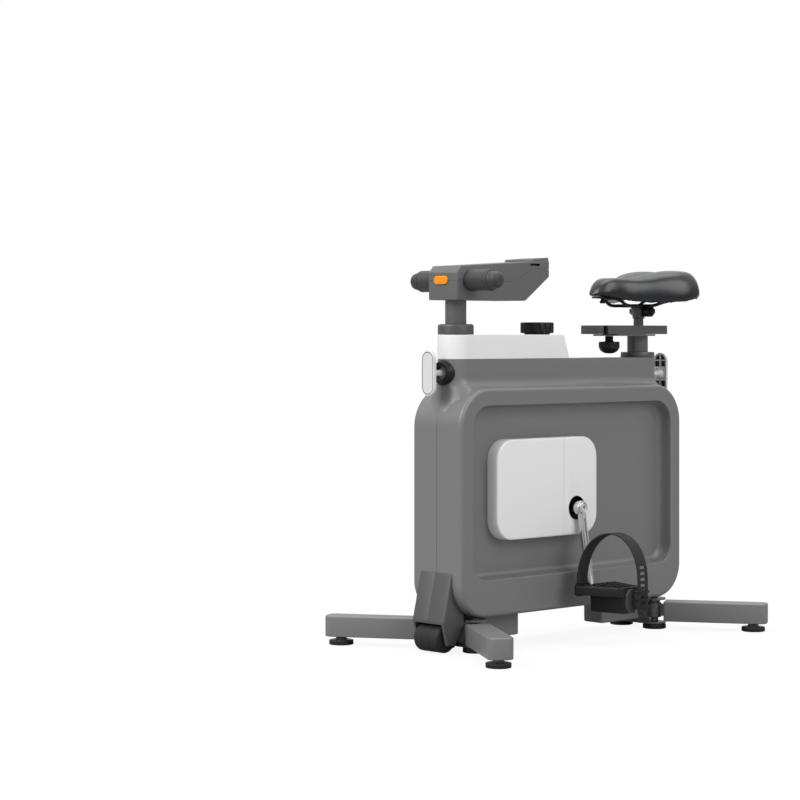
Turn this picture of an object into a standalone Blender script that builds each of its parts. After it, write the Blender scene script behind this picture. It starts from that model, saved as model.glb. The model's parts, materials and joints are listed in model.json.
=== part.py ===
"""Mini exercise bike: a slab-shaped body with a belt-driven flywheel, four swing-out legs,
a transport roller, a sliding handlebar and a sliding saddle.

Frame: origin on the floor under the middle of the body, X from the handlebar end (-) to the
saddle end (+), Y from the left side (-) to the right side (+), Z up. Sizes are in millimetres
and become metres when a mesh is made.
"""

import math

import bmesh
import bpy
from mathutils import Matrix, Vector

MM = 0.001
GAP = 0.3
SMOOTH_ANGLE = math.radians(40)

# Body shells
BODY_HALF_LENGTH = 330.0
BODY_HALF_WIDTH = 68.0
BODY_BOTTOM = 68.0
BODY_TOP = 517.0
BODY_TOP_CORNER = 78.0
BODY_BOTTOM_CORNER = 70.0
BODY_EDGE = 8.0
SHELL_WALL = 3.0
RECESS_DEPTH = 28.0
RECESS_SIDE_MARGIN = 32.0
RECESS_TOP_MARGIN = 33.0
RECESS_BOTTOM_MARGIN = 71.0
RECESS_CORNER = 45.0
RECESS_LEDGE = 11.0
RECESS_FILLET = 6.0
BEAM_RADIUS = 36.0
BEAM_HEIGHT = 56.6
BEAM_TOP = BODY_TOP + BEAM_HEIGHT
BEAM_EDGE = 1.5
BEAM_FILLET = 15.0
BEAM_FILLET_HEIGHT = 22.0
SKIRT_LENGTH = 119.0
SKIRT_GAP = 7.0
SKIRT_HALF_WIDTH = 27.0
SKIRT_BOTTOM = 20.0
SKIRT_CORNER = 4.0

# Posts
FRONT_POST_SETBACK = 53.0
REAR_POST_SETBACK = 62.0
FRONT_POST_X = FRONT_POST_SETBACK - BODY_HALF_LENGTH
REAR_POST_X = BODY_HALF_LENGTH - REAR_POST_SETBACK
TUBE_RADIUS = 28.0
TUBE_WALL = 2.7
FRONT_POST_RADIUS = 21.0
REAR_POST_RADIUS = 22.0
POST_WALL = 4.0
POST_TRAVEL = 150.0
POST_TAIL = 42.0
BUSH_LENGTH = 28.0
HOLE_PITCH = 25.0
KEYWAY_WIDTH = 9.4
KEYWAY_DEPTH = 2.0
KEYWAY_END = 8.0

# Covers and collars
TOP_COVER_HEIGHT = 48.0
TOP_COVER_TOP = BEAM_TOP + TOP_COVER_HEIGHT
TOP_COVER_REAR_LOW = 18.0
TOP_COVER_REAR_HIGH = 2.0
TOP_COVER_CORNER = 7.0
TOP_COVER_WALL = 3.0
TOP_COVER_EDGE = 1.5
POST_COLLAR_RADIUS = 35.5
POST_COLLAR_HEIGHT = 20.7
POST_COLLAR_CHAMFER = 2.5
SEAT_COLLAR_RADIUS = 36.3
SEAT_COLLAR_HEIGHT = 11.0
SEAT_COLLAR_CHAMFER = 1.5

# Pull knobs
PIN_RADIUS = 4.0
PIN_STEM_RADIUS = 6.25
PIN_ENGAGEMENT = 1.7
FRONT_PIN_DROP = 27.0
REAR_PIN_DROP = 35.6
FRONT_PIN_Z = BEAM_TOP - FRONT_PIN_DROP
REAR_PIN_Z = BEAM_TOP - REAR_PIN_DROP
FRONT_PULL_REACH = 77.0
REAR_PULL_REACH = 79.0
PULL_HALF_WIDTH = 18.0
PULL_HEIGHT = 90.0
PULL_THICKNESS = 6.0
PULL_EDGE = 1.6
PULL_RIB = 2.4
PULL_RIM = 3.0
PULL_POCKET_DEPTH = 3.6
PULL_POCKET_HEIGHT = 11.0
PULL_CORE_HALF = 17.0
PULL_CONE_RADIUS = 9.5
PULL_CONE_LENGTH = 7.0
BOSS_RADIUS = 25.0
BOSS_BORE = 15.0
BOSS_LENGTH = 8.0
BOSS_STEP = 2.0

# Drive
PULLEY_WIDTH = 15.0
DRIVE_CLEARANCE = 3.5
PULLEY_Y = PULLEY_WIDTH / 2 + DRIVE_CLEARANCE + SHELL_WALL + RECESS_DEPTH - BODY_HALF_WIDTH
CRANK_PULLEY_RADIUS = 80.0
PULLEY_HUB_RADIUS = 18.0
PULLEY_WEB = 4.0
PULLEY_RIM = 7.0
FLYWHEEL_X = -140.0
FLYWHEEL_Z = 330.0
FLYWHEEL_RADIUS = 100.0
FLYWHEEL_WIDTH = 22.0
FLYWHEEL_Y = 3.0
FLYWHEEL_WEB = 8.0
FLYWHEEL_RIM = 24.0
FLYWHEEL_PULLEY_RADIUS = 14.0
FLYWHEEL_AXLE_RADIUS = 5.0
FLYWHEEL_AXLE_PROUD = 4.0
BELT_THICKNESS = 3.0
BELT_WIDTH = 13.0
PLATE_CLEARANCE = 6.0
PLATE_THICKNESS = 6.0
PLATE_LOW = FLYWHEEL_Y + FLYWHEEL_WIDTH / 2 + PLATE_CLEARANCE
PLATE_HIGH = PLATE_LOW + PLATE_THICKNESS
PLATE_MARGIN = 28.0
RAIL_HALF_WIDTH = 20.0
RAIL_HEIGHT = 22.0
RAIL_CLEARANCE = 2.6
TUBE_FOOT = 5.0
BRAKE_PIVOT_X = -8.0
BRAKE_PIVOT_Z = 345.0
BRAKE_PIN_RADIUS = 5.0
BRAKE_EYE_RADIUS = 10.0
BRAKE_GAP = 1.0
BRAKE_LEAF = 3.5
BRAKE_RIM_CLEARANCE = 12.0
BRAKE_BACK = 10.0
BRAKE_REACH = 20.0
BRAKE_TAB = 9.0
BRAKE_TAB_RISE = 94.0
BRAKE_TOP = FLYWHEEL_Z + BRAKE_TAB_RISE

# Cranks
CRANK_Z = 270.0
CRANK_LENGTH = 170.0
CRANK_TILT = math.radians(4.2)
CRANK_COVER_AHEAD = 230.0
CRANK_COVER_BEHIND = 61.0
CRANK_COVER_BELOW = 54.2
CRANK_COVER_ABOVE = 144.5
CRANK_COVER_CORNER = 42.0
CRANK_COVER_PROUD = 2.0
CRANK_COVER_FACE = BODY_HALF_WIDTH + CRANK_COVER_PROUD
CRANK_COVER_WALL = 2.6
CRANK_COVER_EDGE = 4.0
CRANK_COVER_SEAM_X = -39.0
CRANK_HOLE_RADIUS = 24.3
SEAM_WIDTH = 0.8
SEAM_DEPTH = 0.8
CRANK_HUB_PROUD = 16.0
CRANK_HUB_LENGTH = 25.0
CRANK_HUB_RADIUS = 14.8
CRANK_HUB_OUTER = CRANK_COVER_FACE + CRANK_HUB_PROUD
CRANK_HUB_INNER = CRANK_HUB_OUTER - CRANK_HUB_LENGTH
CRANK_SPREAD = 17.0
CRANK_EYE_LENGTH = 12.0
CRANK_EYE_RADIUS = 12.5
CRANK_EYE_OUTER = CRANK_HUB_OUTER + CRANK_SPREAD
CRANK_EYE_INNER = CRANK_EYE_OUTER - CRANK_EYE_LENGTH
CRANK_WIDTH_TOP = 19.0
CRANK_WIDTH_LOW = 16.0
CRANK_THICK_TOP = 11.0
CRANK_THICK_LOW = 9.5
CRANK_GROOVE_WIDTH = 6.0
CRANK_GROOVE_DEPTH = 2.0
CRANK_BOLT_RADIUS = 11.5
CRANK_BOLT_HEAD = 3.0
CRANK_BOLT_SHANK = 4.0
CRANK_BOLT_LENGTH = 16.0
CRANK_BOLT_SEAT = 6.0
CRANK_BOLT_SOCKET = 4.5
AXLE_RADIUS = 8.5
AXLE_HALF_LENGTH = CRANK_HUB_OUTER - CRANK_BOLT_SEAT
AXLE_HOLE_RADIUS = 12.0
BRACKET_RADIUS = 16.7
BRACKET_SHELL_RADIUS = 22.0
BRACKET_CLEARANCE = 4.5
BRACKET_PROUD = 3.0
BRACKET_LOW = PULLEY_Y + PULLEY_WIDTH / 2 + BRACKET_CLEARANCE
BRACKET_HIGH = PLATE_HIGH + BRACKET_PROUD

# Dial
DIAL_X = -44.0
DIAL_RADIUS = 34.0
DIAL_FLUTE = 1.3
DIAL_FLUTES = 16
DIAL_HEIGHT = 22.0
DIAL_NECK_RADIUS = 26.0
DIAL_NECK_HEIGHT = 3.0
DIAL_SHAFT_RADIUS = 5.0
DIAL_SHAFT_HOLE = 7.0
DIAL_SHAFT_GAP = 0.7

# Pedals
PEDAL_INNER = CRANK_EYE_OUTER + 2 * GAP
PEDAL_LENGTH = 93.4
PEDAL_OUTER = PEDAL_INNER + PEDAL_LENGTH
PEDAL_HALF_INNER = 60.0
PEDAL_HALF_OUTER = 29.0
PEDAL_BOTTOM = -0.5
PEDAL_TOP = 18.0
PEDAL_CORNER = 9.0
PEDAL_EDGE = 2.5
PEDAL_SKIN = 3.5
PEDAL_RIM = 4.0
SPINDLE_RADIUS = 6.0
SPINDLE_FLANGE_RADIUS = 8.5
SPINDLE_FLANGE = 4.0
SPINDLE_COVER = 7.0
SPINDLE_END = PEDAL_OUTER - SPINDLE_COVER
SPINDLE_BOSS = 11.0
BLOCK_SETBACK = 21.4
BLOCK_END = 1.0
BLOCK_INNER = PEDAL_INNER + BLOCK_SETBACK
BLOCK_OUTER = PEDAL_OUTER - BLOCK_END
BLOCK_HALF_INNER = 33.0
BLOCK_HALF_OUTER = 14.0
BLOCK_BOTTOM = -34.5
BLOCK_CORNER = 5.0
CAP_PROUD = 4.0
CAP_OUTER = PEDAL_OUTER + CAP_PROUD
CAP_DEPTH = 13.0
CAP_HALF_WIDTH = 13.5
CAP_LOW = -32.5
CAP_HIGH = 15.5
TREADS = 3
TREAD_FIRST = 24.0
TREAD_HEIGHT = 1.0
TREAD_WIDTH = 3.0
TREAD_PITCH = 22.0
TREAD_MARGIN = 9.0
LUG_HEIGHT = 9.0
LUG_LENGTH = 18.0
LUG_MARGIN = 3.0
ANCHOR_HALF_WIDTH = 10.0
ANCHOR_LOW = -28.0
ANCHOR_HIGH = 11.0

# Pedal straps
STRAP_WIDTH = 30.0
STRAP_THICKNESS = 2.4
STRAP_SETBACK = 3.4
STRAP_OUTREACH = 21.0
STRAP_INNER_Y = PEDAL_INNER + STRAP_SETBACK
STRAP_OUTER_Y = PEDAL_OUTER + STRAP_OUTREACH
STRAP_INNER_X = -38.0
STRAP_OUTER_X = 14.0
STRAP_RISE = 108.0
STRAP_NECK = 4.0
STRAP_TAIL = 33.0
STRAP_ROOT = 10.0
STRAP_SLOT_WIDTH = 12.5
STRAP_SLOT_HEIGHT = 5.8
STRAP_SLOT_PITCH = 11.8
STRAP_SLOTS = 5
STRAP_FIRST_SLOT = 6.3

# Legs and feet
PIVOT_SETBACK = 61.0
PIVOT_X = BODY_HALF_LENGTH - PIVOT_SETBACK
PIVOT_Y = 46.0
PIVOT_PIN_RADIUS = 5.0
PIVOT_HEAD_RADIUS = 8.0
FLANGE_RADIUS = 24.0
FLANGE_LOW = 11.0
FLANGE_THICKNESS = 3.5
FLANGE_DROP = 7.0
UPPER_FLANGE_LOW = BODY_BOTTOM - FLANGE_DROP
WEB_HALF_WIDTH = 18.0
WEB_HALF_LENGTH = 19.0
LEG_ANGLE = math.radians(33)
LEG_REACH = 208.0
LEG_TOE = 30.0
LEG_END = LEG_REACH + LEG_TOE
LEG_START = 22.0
LEG_WIDTH = 50.0
LEG_CLEARANCE = 2.5
LEG_BOTTOM = FLANGE_LOW + FLANGE_THICKNESS + LEG_CLEARANCE
LEG_TOP = UPPER_FLANGE_LOW - LEG_CLEARANCE
LEG_WALL = 2.5
LEG_CORNER = 15.0
LEG_EDGE = 2.0
LEG_NECK_WIDTH = 12.0
BARREL_RADIUS = 15.0
BARREL_SHOULDER_LOW = 7.0
BARREL_SHOULDER_HIGH = 4.0
BARREL_LOW = LEG_BOTTOM + BARREL_SHOULDER_LOW
BARREL_HIGH = LEG_TOP - BARREL_SHOULDER_HIGH
BARREL_HUB_LOW_RADIUS = 8.5
BARREL_HUB_HIGH_RADIUS = 12.0
FOOT_RADIUS = 24.5
FOOT_HEIGHT = 9.5
FOOT_EDGE = 1.5
FOOT_STEM_RADIUS = 7.0
FOOT_STUD_RADIUS = 4.0
FOOT_STUD_LENGTH = 15.0

# Transport roller
ROLLER_OUT = 5.0
ROLLER_X = -BODY_HALF_LENGTH - ROLLER_OUT
ROLLER_Z = 29.5
ROLLER_RADIUS = 27.0
ROLLER_HALF_LENGTH = 33.0
ROLLER_EDGE = 3.0
ROLLER_AXLE_RADIUS = 5.0
ROLLER_CLEARANCE = 3.0
HOUSING_HALF_WIDTH = 44.0
HOUSING_OPENING = 37.0
HOUSING_HEIGHT = 90.0
HOUSING_TOP = BODY_BOTTOM + HOUSING_HEIGHT
HOUSING_LIP_OUT = 24.0
HOUSING_LIP_Z = 63.0
HOUSING_TIP_OUT = 14.0
HOUSING_TIP_Z = 23.5
HOUSING_HEEL_IN = 8.0
HOUSING_HEEL_Z = 17.3
HOUSING_BACK_IN = 34.0
HOUSING_BACK_Z = 45.0
HOUSING_WALL = 4.0
HOUSING_EDGE = 1.5
HOUSING_TOP_THICKNESS = 1.4
HOUSING_HEAD = 18.0
HOUSING_END_WALL = 2.0
HOUSING_ARC_END = math.radians(238)

# Handlebar unit
UNIT_NOSE = 36.0
UNIT_LENGTH = 263.0
UNIT_FRONT = FRONT_POST_X - UNIT_NOSE
UNIT_REAR = UNIT_FRONT + UNIT_LENGTH
UNIT_RISE = 68.0
UNIT_BOTTOM = TOP_COVER_TOP + UNIT_RISE
UNIT_FRONT_HEIGHT = 54.1
UNIT_BEVEL_LENGTH = 11.0
UNIT_BEVEL_HEIGHT = 67.4
UNIT_PAD_LENGTH = 49.0
UNIT_PAD_STEP = 5.0
UNIT_PAD_FRONT_HEIGHT = 84.4
UNIT_PAD_REAR_HEIGHT = 88.4
UNIT_REAR_LIFT = 48.9
UNIT_SLANT_LENGTH = 69.0
UNIT_HALF_WIDTH = 40.0
UNIT_EDGE = 2.0
UNIT_WALL = 3.0
UNIT_SEAM_FRONT = UNIT_BOTTOM + 38.4
UNIT_SEAM_RISE = 26.0
UNIT_SEAM_START = 110.0
UNIT_SEAM_RUN = 68.0
UNIT_SLOT_LENGTH = 28.0
UNIT_SLOT_SETBACK = 28.0
UNIT_SLOT_DROP = 15.5
UNIT_SLOT_HEIGHT = 4.6
CROSS_TUBE_SHIFT = 2.0
CROSS_TUBE_X = FRONT_POST_X + CROSS_TUBE_SHIFT
CROSS_TUBE_Z = UNIT_SEAM_FRONT
CROSS_TUBE_RADIUS = 13.0
CROSS_TUBE_WALL = 2.5
POST_HEAD = 12.0
POST_TOP = CROSS_TUBE_Z + POST_HEAD
GRIP_RADIUS = 21.5
GRIP_TIP_RADIUS = 17.0
GRIP_INNER = UNIT_HALF_WIDTH + GAP
GRIP_LENGTH = 80.7
GRIP_END = GRIP_INNER + GRIP_LENGTH
GRIP_TIP_LENGTH = 23.0
GRIP_CAP = 6.0
CROSS_TUBE_END = GRIP_END - GRIP_CAP
BUTTON_Y = 3.2
BUTTON_Z = UNIT_SEAM_FRONT + 0.6
BUTTON_HALF_WIDTH = 18.8
BUTTON_HALF_HEIGHT = 8.4
BUTTON_PROUD = 4.0
BUTTON_DEPTH = 5.0
BUTTON_EDGE = 1.5

# Seat slide
SEAT_RISE = 45.4
SLIDE_BOTTOM = BEAM_TOP + SEAT_RISE
SLIDE_PLATE = 3.5
SLIDE_PLATE_AHEAD = 107.0
SLIDE_PLATE_BEHIND = 22.0
SLIDE_PLATE_FRONT = REAR_POST_X - SLIDE_PLATE_AHEAD
SLIDE_PLATE_REAR = REAR_POST_X + SLIDE_PLATE_BEHIND
SLIDE_HALF_WIDTH = 37.5
SLIDER_AHEAD = 154.4
SLIDER_NOSE_LENGTH = 16.8
SLIDER_NOSE_HALF_WIDTH = 29.5
SLIDER_BEHIND = 55.0
SLIDER_FRONT = REAR_POST_X - SLIDER_AHEAD
SLIDER_REAR = REAR_POST_X + SLIDER_BEHIND
SLIDER_LOW = SLIDE_BOTTOM + SLIDE_PLATE + GAP
SLIDER_HEIGHT = 18.4
SLIDER_TOP = SLIDER_LOW + SLIDER_HEIGHT
SLIDER_CORNER = 3.0
SLIDER_NOSE_CORNER = 14.0
SLIDER_EDGE = 1.5
RAIL_NECK = 8.0
RAIL_HEAD = 14.7
RAIL_NECK_HEIGHT = 3.0
RAIL_HEAD_HEIGHT = 4.2
RAIL_END_MARGIN = 4.0
SLIDE_TRAVEL = 25.0
SLIDE_STOP_MARGIN = 4.0
KNOB_SETBACK = 16.0
KNOB_X = SLIDE_PLATE_FRONT + KNOB_SETBACK
KNOB_RADIUS = 22.0
KNOB_STEM_LENGTH = 12.0
KNOB_RIM_HEIGHT = 14.0
KNOB_TOP = SLIDE_BOTTOM - KNOB_STEM_LENGTH
KNOB_RIM = KNOB_TOP - KNOB_RIM_HEIGHT
KNOB_DOME = 11.0
KNOB_STEM_RADIUS = 8.5
KNOB_STUD_RADIUS = 4.0

# Saddle
CLAMP_SHIFT = 3.0
CLAMP_X = REAR_POST_X + CLAMP_SHIFT
CLAMP_PIN_RADIUS = 10.5
CLAMP_PIN_DEPTH = 7.0
CLAMP_STEM = 15.8
CLAMP_BODY_HEIGHT = 26.0
CLAMP_BODY_LOW = SLIDER_TOP + CLAMP_STEM
CLAMP_BODY_HIGH = CLAMP_BODY_LOW + CLAMP_BODY_HEIGHT
CLAMP_BODY_RADIUS = 13.0
CLAMP_AXIS_RISE = 14.5
CLAMP_AXIS_Z = CLAMP_BODY_LOW + CLAMP_AXIS_RISE
CLAMP_BOLT_RADIUS = 4.0
CLAMP_BOLT_END = 39.0
CLAMP_DISC_RADIUS = 12.0
CLAMP_DISC_WIDTH = 6.0
CLAMP_NUT_RADIUS = 7.5
CLAMP_NUT_WIDTH = 5.0
WIRE_RADIUS = 3.5
WIRE_Y = 22.0
WIRE_RISE = 11.0
WIRE_Z = CLAMP_AXIS_Z + WIRE_RISE
WIRE_BEHIND = 34.0
WIRE_AHEAD = 65.0
WIRE_BOW = 102.0
WIRE_RAMP = 22.0
WIRE_SPREAD = 20.0
WIRE_TAIL_SETBACK = 36.0
SADDLE_AHEAD = 151.0
SADDLE_LENGTH = 268.0
SADDLE_NOSE = CLAMP_X - SADDLE_AHEAD
SADDLE_TAIL = SADDLE_NOSE + SADDLE_LENGTH
SADDLE_HALF_WIDTH = 103.0
SADDLE_NOSE_WIDTH = 30.0
SADDLE_NOSE_SLOPE = 55.0
SADDLE_TAIL_ROUND = 45.0
SADDLE_WIDE_X = SADDLE_TAIL - SADDLE_TAIL_ROUND
SADDLE_SEAT_RISE = 23.5
SADDLE_UNDERSIDE = WIRE_Z + SADDLE_SEAT_RISE
SADDLE_RIM_NOSE = 4.5
SADDLE_RIM_MIDDLE = 20.0
SADDLE_RIM_TAIL = 6.0
SADDLE_TOP_NOSE = 36.0
SADDLE_TOP_WAIST = 35.0
SADDLE_TOP_LOBE = 52.0
SADDLE_CHANNEL_DEPTH = 9.0
SADDLE_CHANNEL_WIDTH = 13.0
SADDLE_BASE_THICKNESS = 4.0
SADDLE_BASE_INSET = 15.0
SADDLE_SOCKET_LENGTH = 16.0
SADDLE_SOCKET_WIDTH = 26.0
SADDLE_SOCKET_DEPTH = 8.0
SADDLE_AROUND = 40

# Surface finishes: colour, roughness, metallic
FINISHES = {
    "body_grey": ((0.19, 0.19, 0.19), 0.48, 0.0),
    "leg_grey": ((0.17, 0.17, 0.17), 0.45, 0.0),
    "dark_plastic": ((0.035, 0.035, 0.037), 0.4, 0.0),
    "black_plastic": ((0.018, 0.018, 0.019), 0.35, 0.0),
    "white_plastic": ((0.78, 0.78, 0.78), 0.35, 0.0),
    "orange_plastic": ((0.95, 0.36, 0.02), 0.4, 0.0),
    "rubber": ((0.03, 0.03, 0.032), 0.7, 0.0),
    "leatherette": ((0.035, 0.037, 0.04), 0.45, 0.0),
    "bright_metal": ((0.72, 0.72, 0.73), 0.25, 1.0),
    "steel": ((0.45, 0.45, 0.46), 0.35, 1.0),
    "black_metal": ((0.03, 0.03, 0.03), 0.4, 0.6),
}


# Outlines in a plane
def arc(centre, radius, start, end, steps):
    """Points from one angle to another on a circle."""
    points = []
    for index in range(steps + 1):
        angle = start + (end - start) * index / steps
        points.append((centre[0] + radius * math.cos(angle), centre[1] + radius * math.sin(angle)))
    return points


def disc(centre, radius, steps=20):
    """A whole circle."""
    return arc(centre, radius, 0, 2 * math.pi, steps)[:-1]


def stadium(first, last, radius, steps=10):
    """Two half circles joined by straight sides, lying along the first axis."""
    right = arc(last, radius, -math.pi / 2, math.pi / 2, steps)
    return right + arc(first, radius, math.pi / 2, 3 * math.pi / 2, steps)


def rectangle(low_u, high_u, low_v, high_v):
    return [(low_u, low_v), (high_u, low_v), (high_u, high_v), (low_u, high_v)]


def rounded(corners, radii, steps=4):
    """A polygon with each corner turned into an arc; a radius of 0 keeps the corner."""
    points = []
    for index, corner in enumerate(corners):
        radius = radii[index % len(radii)]
        here = Vector(corner)
        back = (Vector(corners[index - 1]) - here).normalized()
        ahead = (Vector(corners[(index + 1) % len(corners)]) - here).normalized()
        if radius <= 0:
            points.append(tuple(here))
            continue
        half = math.acos(max(-1.0, min(1.0, back.dot(ahead)))) / 2
        reach = radius / math.tan(half)
        centre = here + (back + ahead).normalized() * radius / math.sin(half)
        first = here + back * reach - centre
        last = here + ahead * reach - centre
        start = math.atan2(first.y, first.x)
        turn = math.atan2(last.y, last.x) - start
        turn = (turn + math.pi) % (2 * math.pi) - math.pi
        points += arc(centre, radius, start, start + turn, steps)
    return points


def inset(outline, amount):
    """The outline with every side moved inwards by the same amount."""
    if amount == 0:
        return list(outline)
    count = len(outline)
    area = 0.0
    for index in range(count):
        here, ahead = outline[index], outline[(index + 1) % count]
        area += here[0] * ahead[1] - ahead[0] * here[1]
    turn = 1 if area > 0 else -1
    moved = []
    for index in range(count):
        here = Vector(outline[index])
        first = (here - Vector(outline[index - 1])).normalized()
        last = (Vector(outline[(index + 1) % count]) - here).normalized()
        normal = Vector((-first.y - last.y, first.x + last.x)).normalized() * turn
        lean = normal.dot(Vector((-first.y, first.x)) * turn)
        moved.append(tuple(here + normal * amount / max(lean, 0.25)))
    return moved


# Solids as (points, faces)
def along(axis, u, v, w):
    """A point of an outline at height w on an axis: X takes (y, z), Y takes (x, z), Z takes (x, y)."""
    return {"X": (w, u, v), "Y": (u, w, v), "Z": (u, v, w)}[axis]


def loft(rings):
    """A closed solid through rings with the same number of points."""
    count = len(rings[0])
    points = [point for ring_points in rings for point in ring_points]
    faces = [tuple(range(count)), tuple(range(len(points) - count, len(points)))]
    for level in range(len(rings) - 1):
        base = level * count
        for index in range(count):
            ahead = (index + 1) % count
            faces.append((base + index, base + ahead, base + count + ahead, base + count + index))
    return points, faces


def stack(axis, outline, levels):
    """An outline extruded through levels, each a position and an inset."""
    rings = [[along(axis, u, v, position) for u, v in inset(outline, amount)] for position, amount in levels]
    return loft(rings)


def prism(axis, outline, low, high):
    return stack(axis, outline, [(low, 0), (high, 0)])


def eased(low, high, low_round, high_round, steps=2):
    """Levels of a prism whose end edges are rounded."""
    levels = []
    for index in range(steps + 1):
        angle = math.pi / 2 * index / steps
        levels.append((low + low_round * (1 - math.cos(angle)), low_round * (1 - math.sin(angle))))
    for index in range(steps, -1, -1):
        angle = math.pi / 2 * index / steps
        levels.append((high - high_round * (1 - math.cos(angle)), high_round * (1 - math.sin(angle))))
    if low_round == 0:
        levels = levels[steps:]
    if high_round == 0:
        levels = levels[: len(levels) - steps]
    return levels


def block(low_x, high_x, low_y, high_y, low_z, high_z):
    return prism("Z", rectangle(low_x, high_x, low_y, high_y), low_z, high_z)


def rod(axis, centre, radius, low, high, steps=12):
    return prism(axis, disc(centre, radius, steps), low, high)


def turned(axis, centre, profile, steps=20):
    """A solid of revolution from (radius, position) pairs that end on the axis or close on themselves."""
    points = []
    rows = []
    for radius, position in profile:
        if radius == 0:
            rows.append([len(points)])
            points.append(along(axis, centre[0], centre[1], position))
            continue
        rows.append(list(range(len(points), len(points) + steps)))
        points += [along(axis, u, v, position) for u, v in disc(centre, radius, steps)]
    if profile[0][0] > 0:
        rows.append(rows[0])
    faces = []
    for low, high in zip(rows, rows[1:]):
        for index in range(steps):
            ahead = (index + 1) % steps
            face = [low[index % len(low)], low[ahead % len(low)]]
            face += [high[ahead % len(high)], high[index % len(high)]]
            faces.append(tuple(dict.fromkeys(face)))
    return points, faces


def ring(axis, centre, inner, outer, low, high, steps=20):
    return turned(axis, centre, [(inner, low), (outer, low), (outer, high), (inner, high)], steps)


def moved(solid_data, matrix):
    points, faces = solid_data
    return [tuple(matrix @ Vector(point)) for point in points], faces


# Blender objects
def finish(obj, kind):
    """A Principled material of the object's own."""
    colour, roughness, metallic = FINISHES[kind]
    surface = bpy.data.materials.new(obj.name + "_" + kind)
    surface.use_nodes = True
    shader = surface.node_tree.nodes["Principled BSDF"]
    shader.inputs["Base Color"].default_value = (*colour, 1.0)
    shader.inputs["Roughness"].default_value = roughness
    shader.inputs["Metallic"].default_value = metallic
    surface.diffuse_color = (*colour, 1.0)
    obj.data.materials.append(surface)


def mesh_object(name, solid_data, origin):
    points, faces = solid_data
    mesh = bpy.data.meshes.new(name)
    shape = bmesh.new()
    corners = [shape.verts.new((Vector(point) - Vector(origin)) * MM) for point in points]
    for face in faces:
        shape.faces.new([corners[index] for index in face])
    bmesh.ops.recalc_face_normals(shape, faces=shape.faces)
    shape.to_mesh(mesh)
    shape.free()
    obj = bpy.data.objects.new(name, mesh)
    obj.location = Vector(origin) * MM
    bpy.context.scene.collection.objects.link(obj)
    return obj


def solid(name, solid_data, kind, origin=(0, 0, 0), smooth=True):
    """A piece of the bike, with its origin on its joint's axis when it moves."""
    obj = mesh_object(name, solid_data, origin)
    finish(obj, kind)
    if smooth:
        obj.data.shade_smooth()
        obj.data.set_sharp_from_angle(angle=SMOOTH_ANGLE)
    return obj


def helper(name, solid_data):
    obj = mesh_object(name, solid_data, (0, 0, 0))
    obj.hide_render = True
    obj.display_type = "WIRE"
    return obj


def combine(obj, operation, other):
    modifier = obj.modifiers.new(other.name, "BOOLEAN")
    modifier.operation = operation
    modifier.solver = "EXACT"
    modifier.object = other
    return obj


def fuse(obj, label, solid_data):
    return combine(obj, "UNION", helper(obj.name + "_" + label, solid_data))


def cut(obj, label, solid_data):
    return combine(obj, "DIFFERENCE", helper(obj.name + "_" + label, solid_data))


# Body shells
def body_outline():
    corners = rectangle(-BODY_HALF_LENGTH, BODY_HALF_LENGTH, BODY_BOTTOM, BODY_TOP)
    radii = [BODY_BOTTOM_CORNER, BODY_BOTTOM_CORNER, BODY_TOP_CORNER, BODY_TOP_CORNER]
    return rounded(corners, radii, 6)


def recess_outline(grow=0.0, lift=0.0):
    half = BODY_HALF_LENGTH - RECESS_SIDE_MARGIN + grow
    low = BODY_BOTTOM + RECESS_BOTTOM_MARGIN - grow + lift
    high = BODY_TOP - RECESS_TOP_MARGIN + grow
    return rounded(rectangle(-half, half, low, high), [RECESS_CORNER + grow], 4)


def recess_cutter(side):
    """The side recess: walls square to the face, a sloped ledge below and a fillet at the floor."""
    face = BODY_HALF_WIDTH
    floor = face - RECESS_DEPTH
    rows = [(face + 1, 0.0, 0.0), (face - RECESS_FILLET, 0.0, RECESS_LEDGE * 0.1)]
    rows.append((floor + RECESS_FILLET, 0.0, RECESS_LEDGE * 0.9))
    rows.append((floor + RECESS_FILLET * 0.3, -RECESS_FILLET * 0.3, RECESS_LEDGE))
    rows.append((floor, -RECESS_FILLET, RECESS_LEDGE))
    rings = [[along("Y", u, v, side * y) for u, v in recess_outline(grow, lift)] for y, grow, lift in rows]
    return loft(rings)


def beam_outline():
    return stadium((FRONT_POST_X, 0), (REAR_POST_X, 0), BEAM_RADIUS, 10)


def beam_fillet(side):
    """A concave fillet where the beam's side meets the slab's top, running out at both ends."""
    rings = []
    inner = BEAM_RADIUS - SHELL_WALL / 2
    corner = BODY_HALF_LENGTH - BODY_TOP_CORNER
    for x, share in ((FRONT_POST_X, 0.1), (-corner, 1), (corner, 1), (REAR_POST_X, 0.1)):
        width = BEAM_FILLET * share
        height = BEAM_FILLET_HEIGHT * share
        base = BODY_TOP - BODY_TOP_CORNER / 2
        section = [(inner, base), (BEAM_RADIUS + width, base), (BEAM_RADIUS + width, BODY_TOP)]
        for step in range(1, 5):
            angle = math.pi / 2 * step / 4
            out = width * (1 - math.sin(angle))
            section.append((BEAM_RADIUS + out, BODY_TOP + height * (1 - math.cos(angle))))
        section.append((inner, BODY_TOP + height))
        rings.append([(x, side * y, z) for y, z in section])
    return loft(rings)


def skirt(end, grow, low, high):
    """The box under the slab that covers a pivot bracket's root."""
    outer = PIVOT_X - WEB_HALF_LENGTH - SKIRT_GAP
    xs = sorted((end * (outer - SKIRT_LENGTH - grow), end * (outer + grow)))
    half = SKIRT_HALF_WIDTH + grow
    return prism("Z", rounded(rectangle(xs[0], xs[1], -half, half), [SKIRT_CORNER + grow], 3), low, high)


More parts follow.
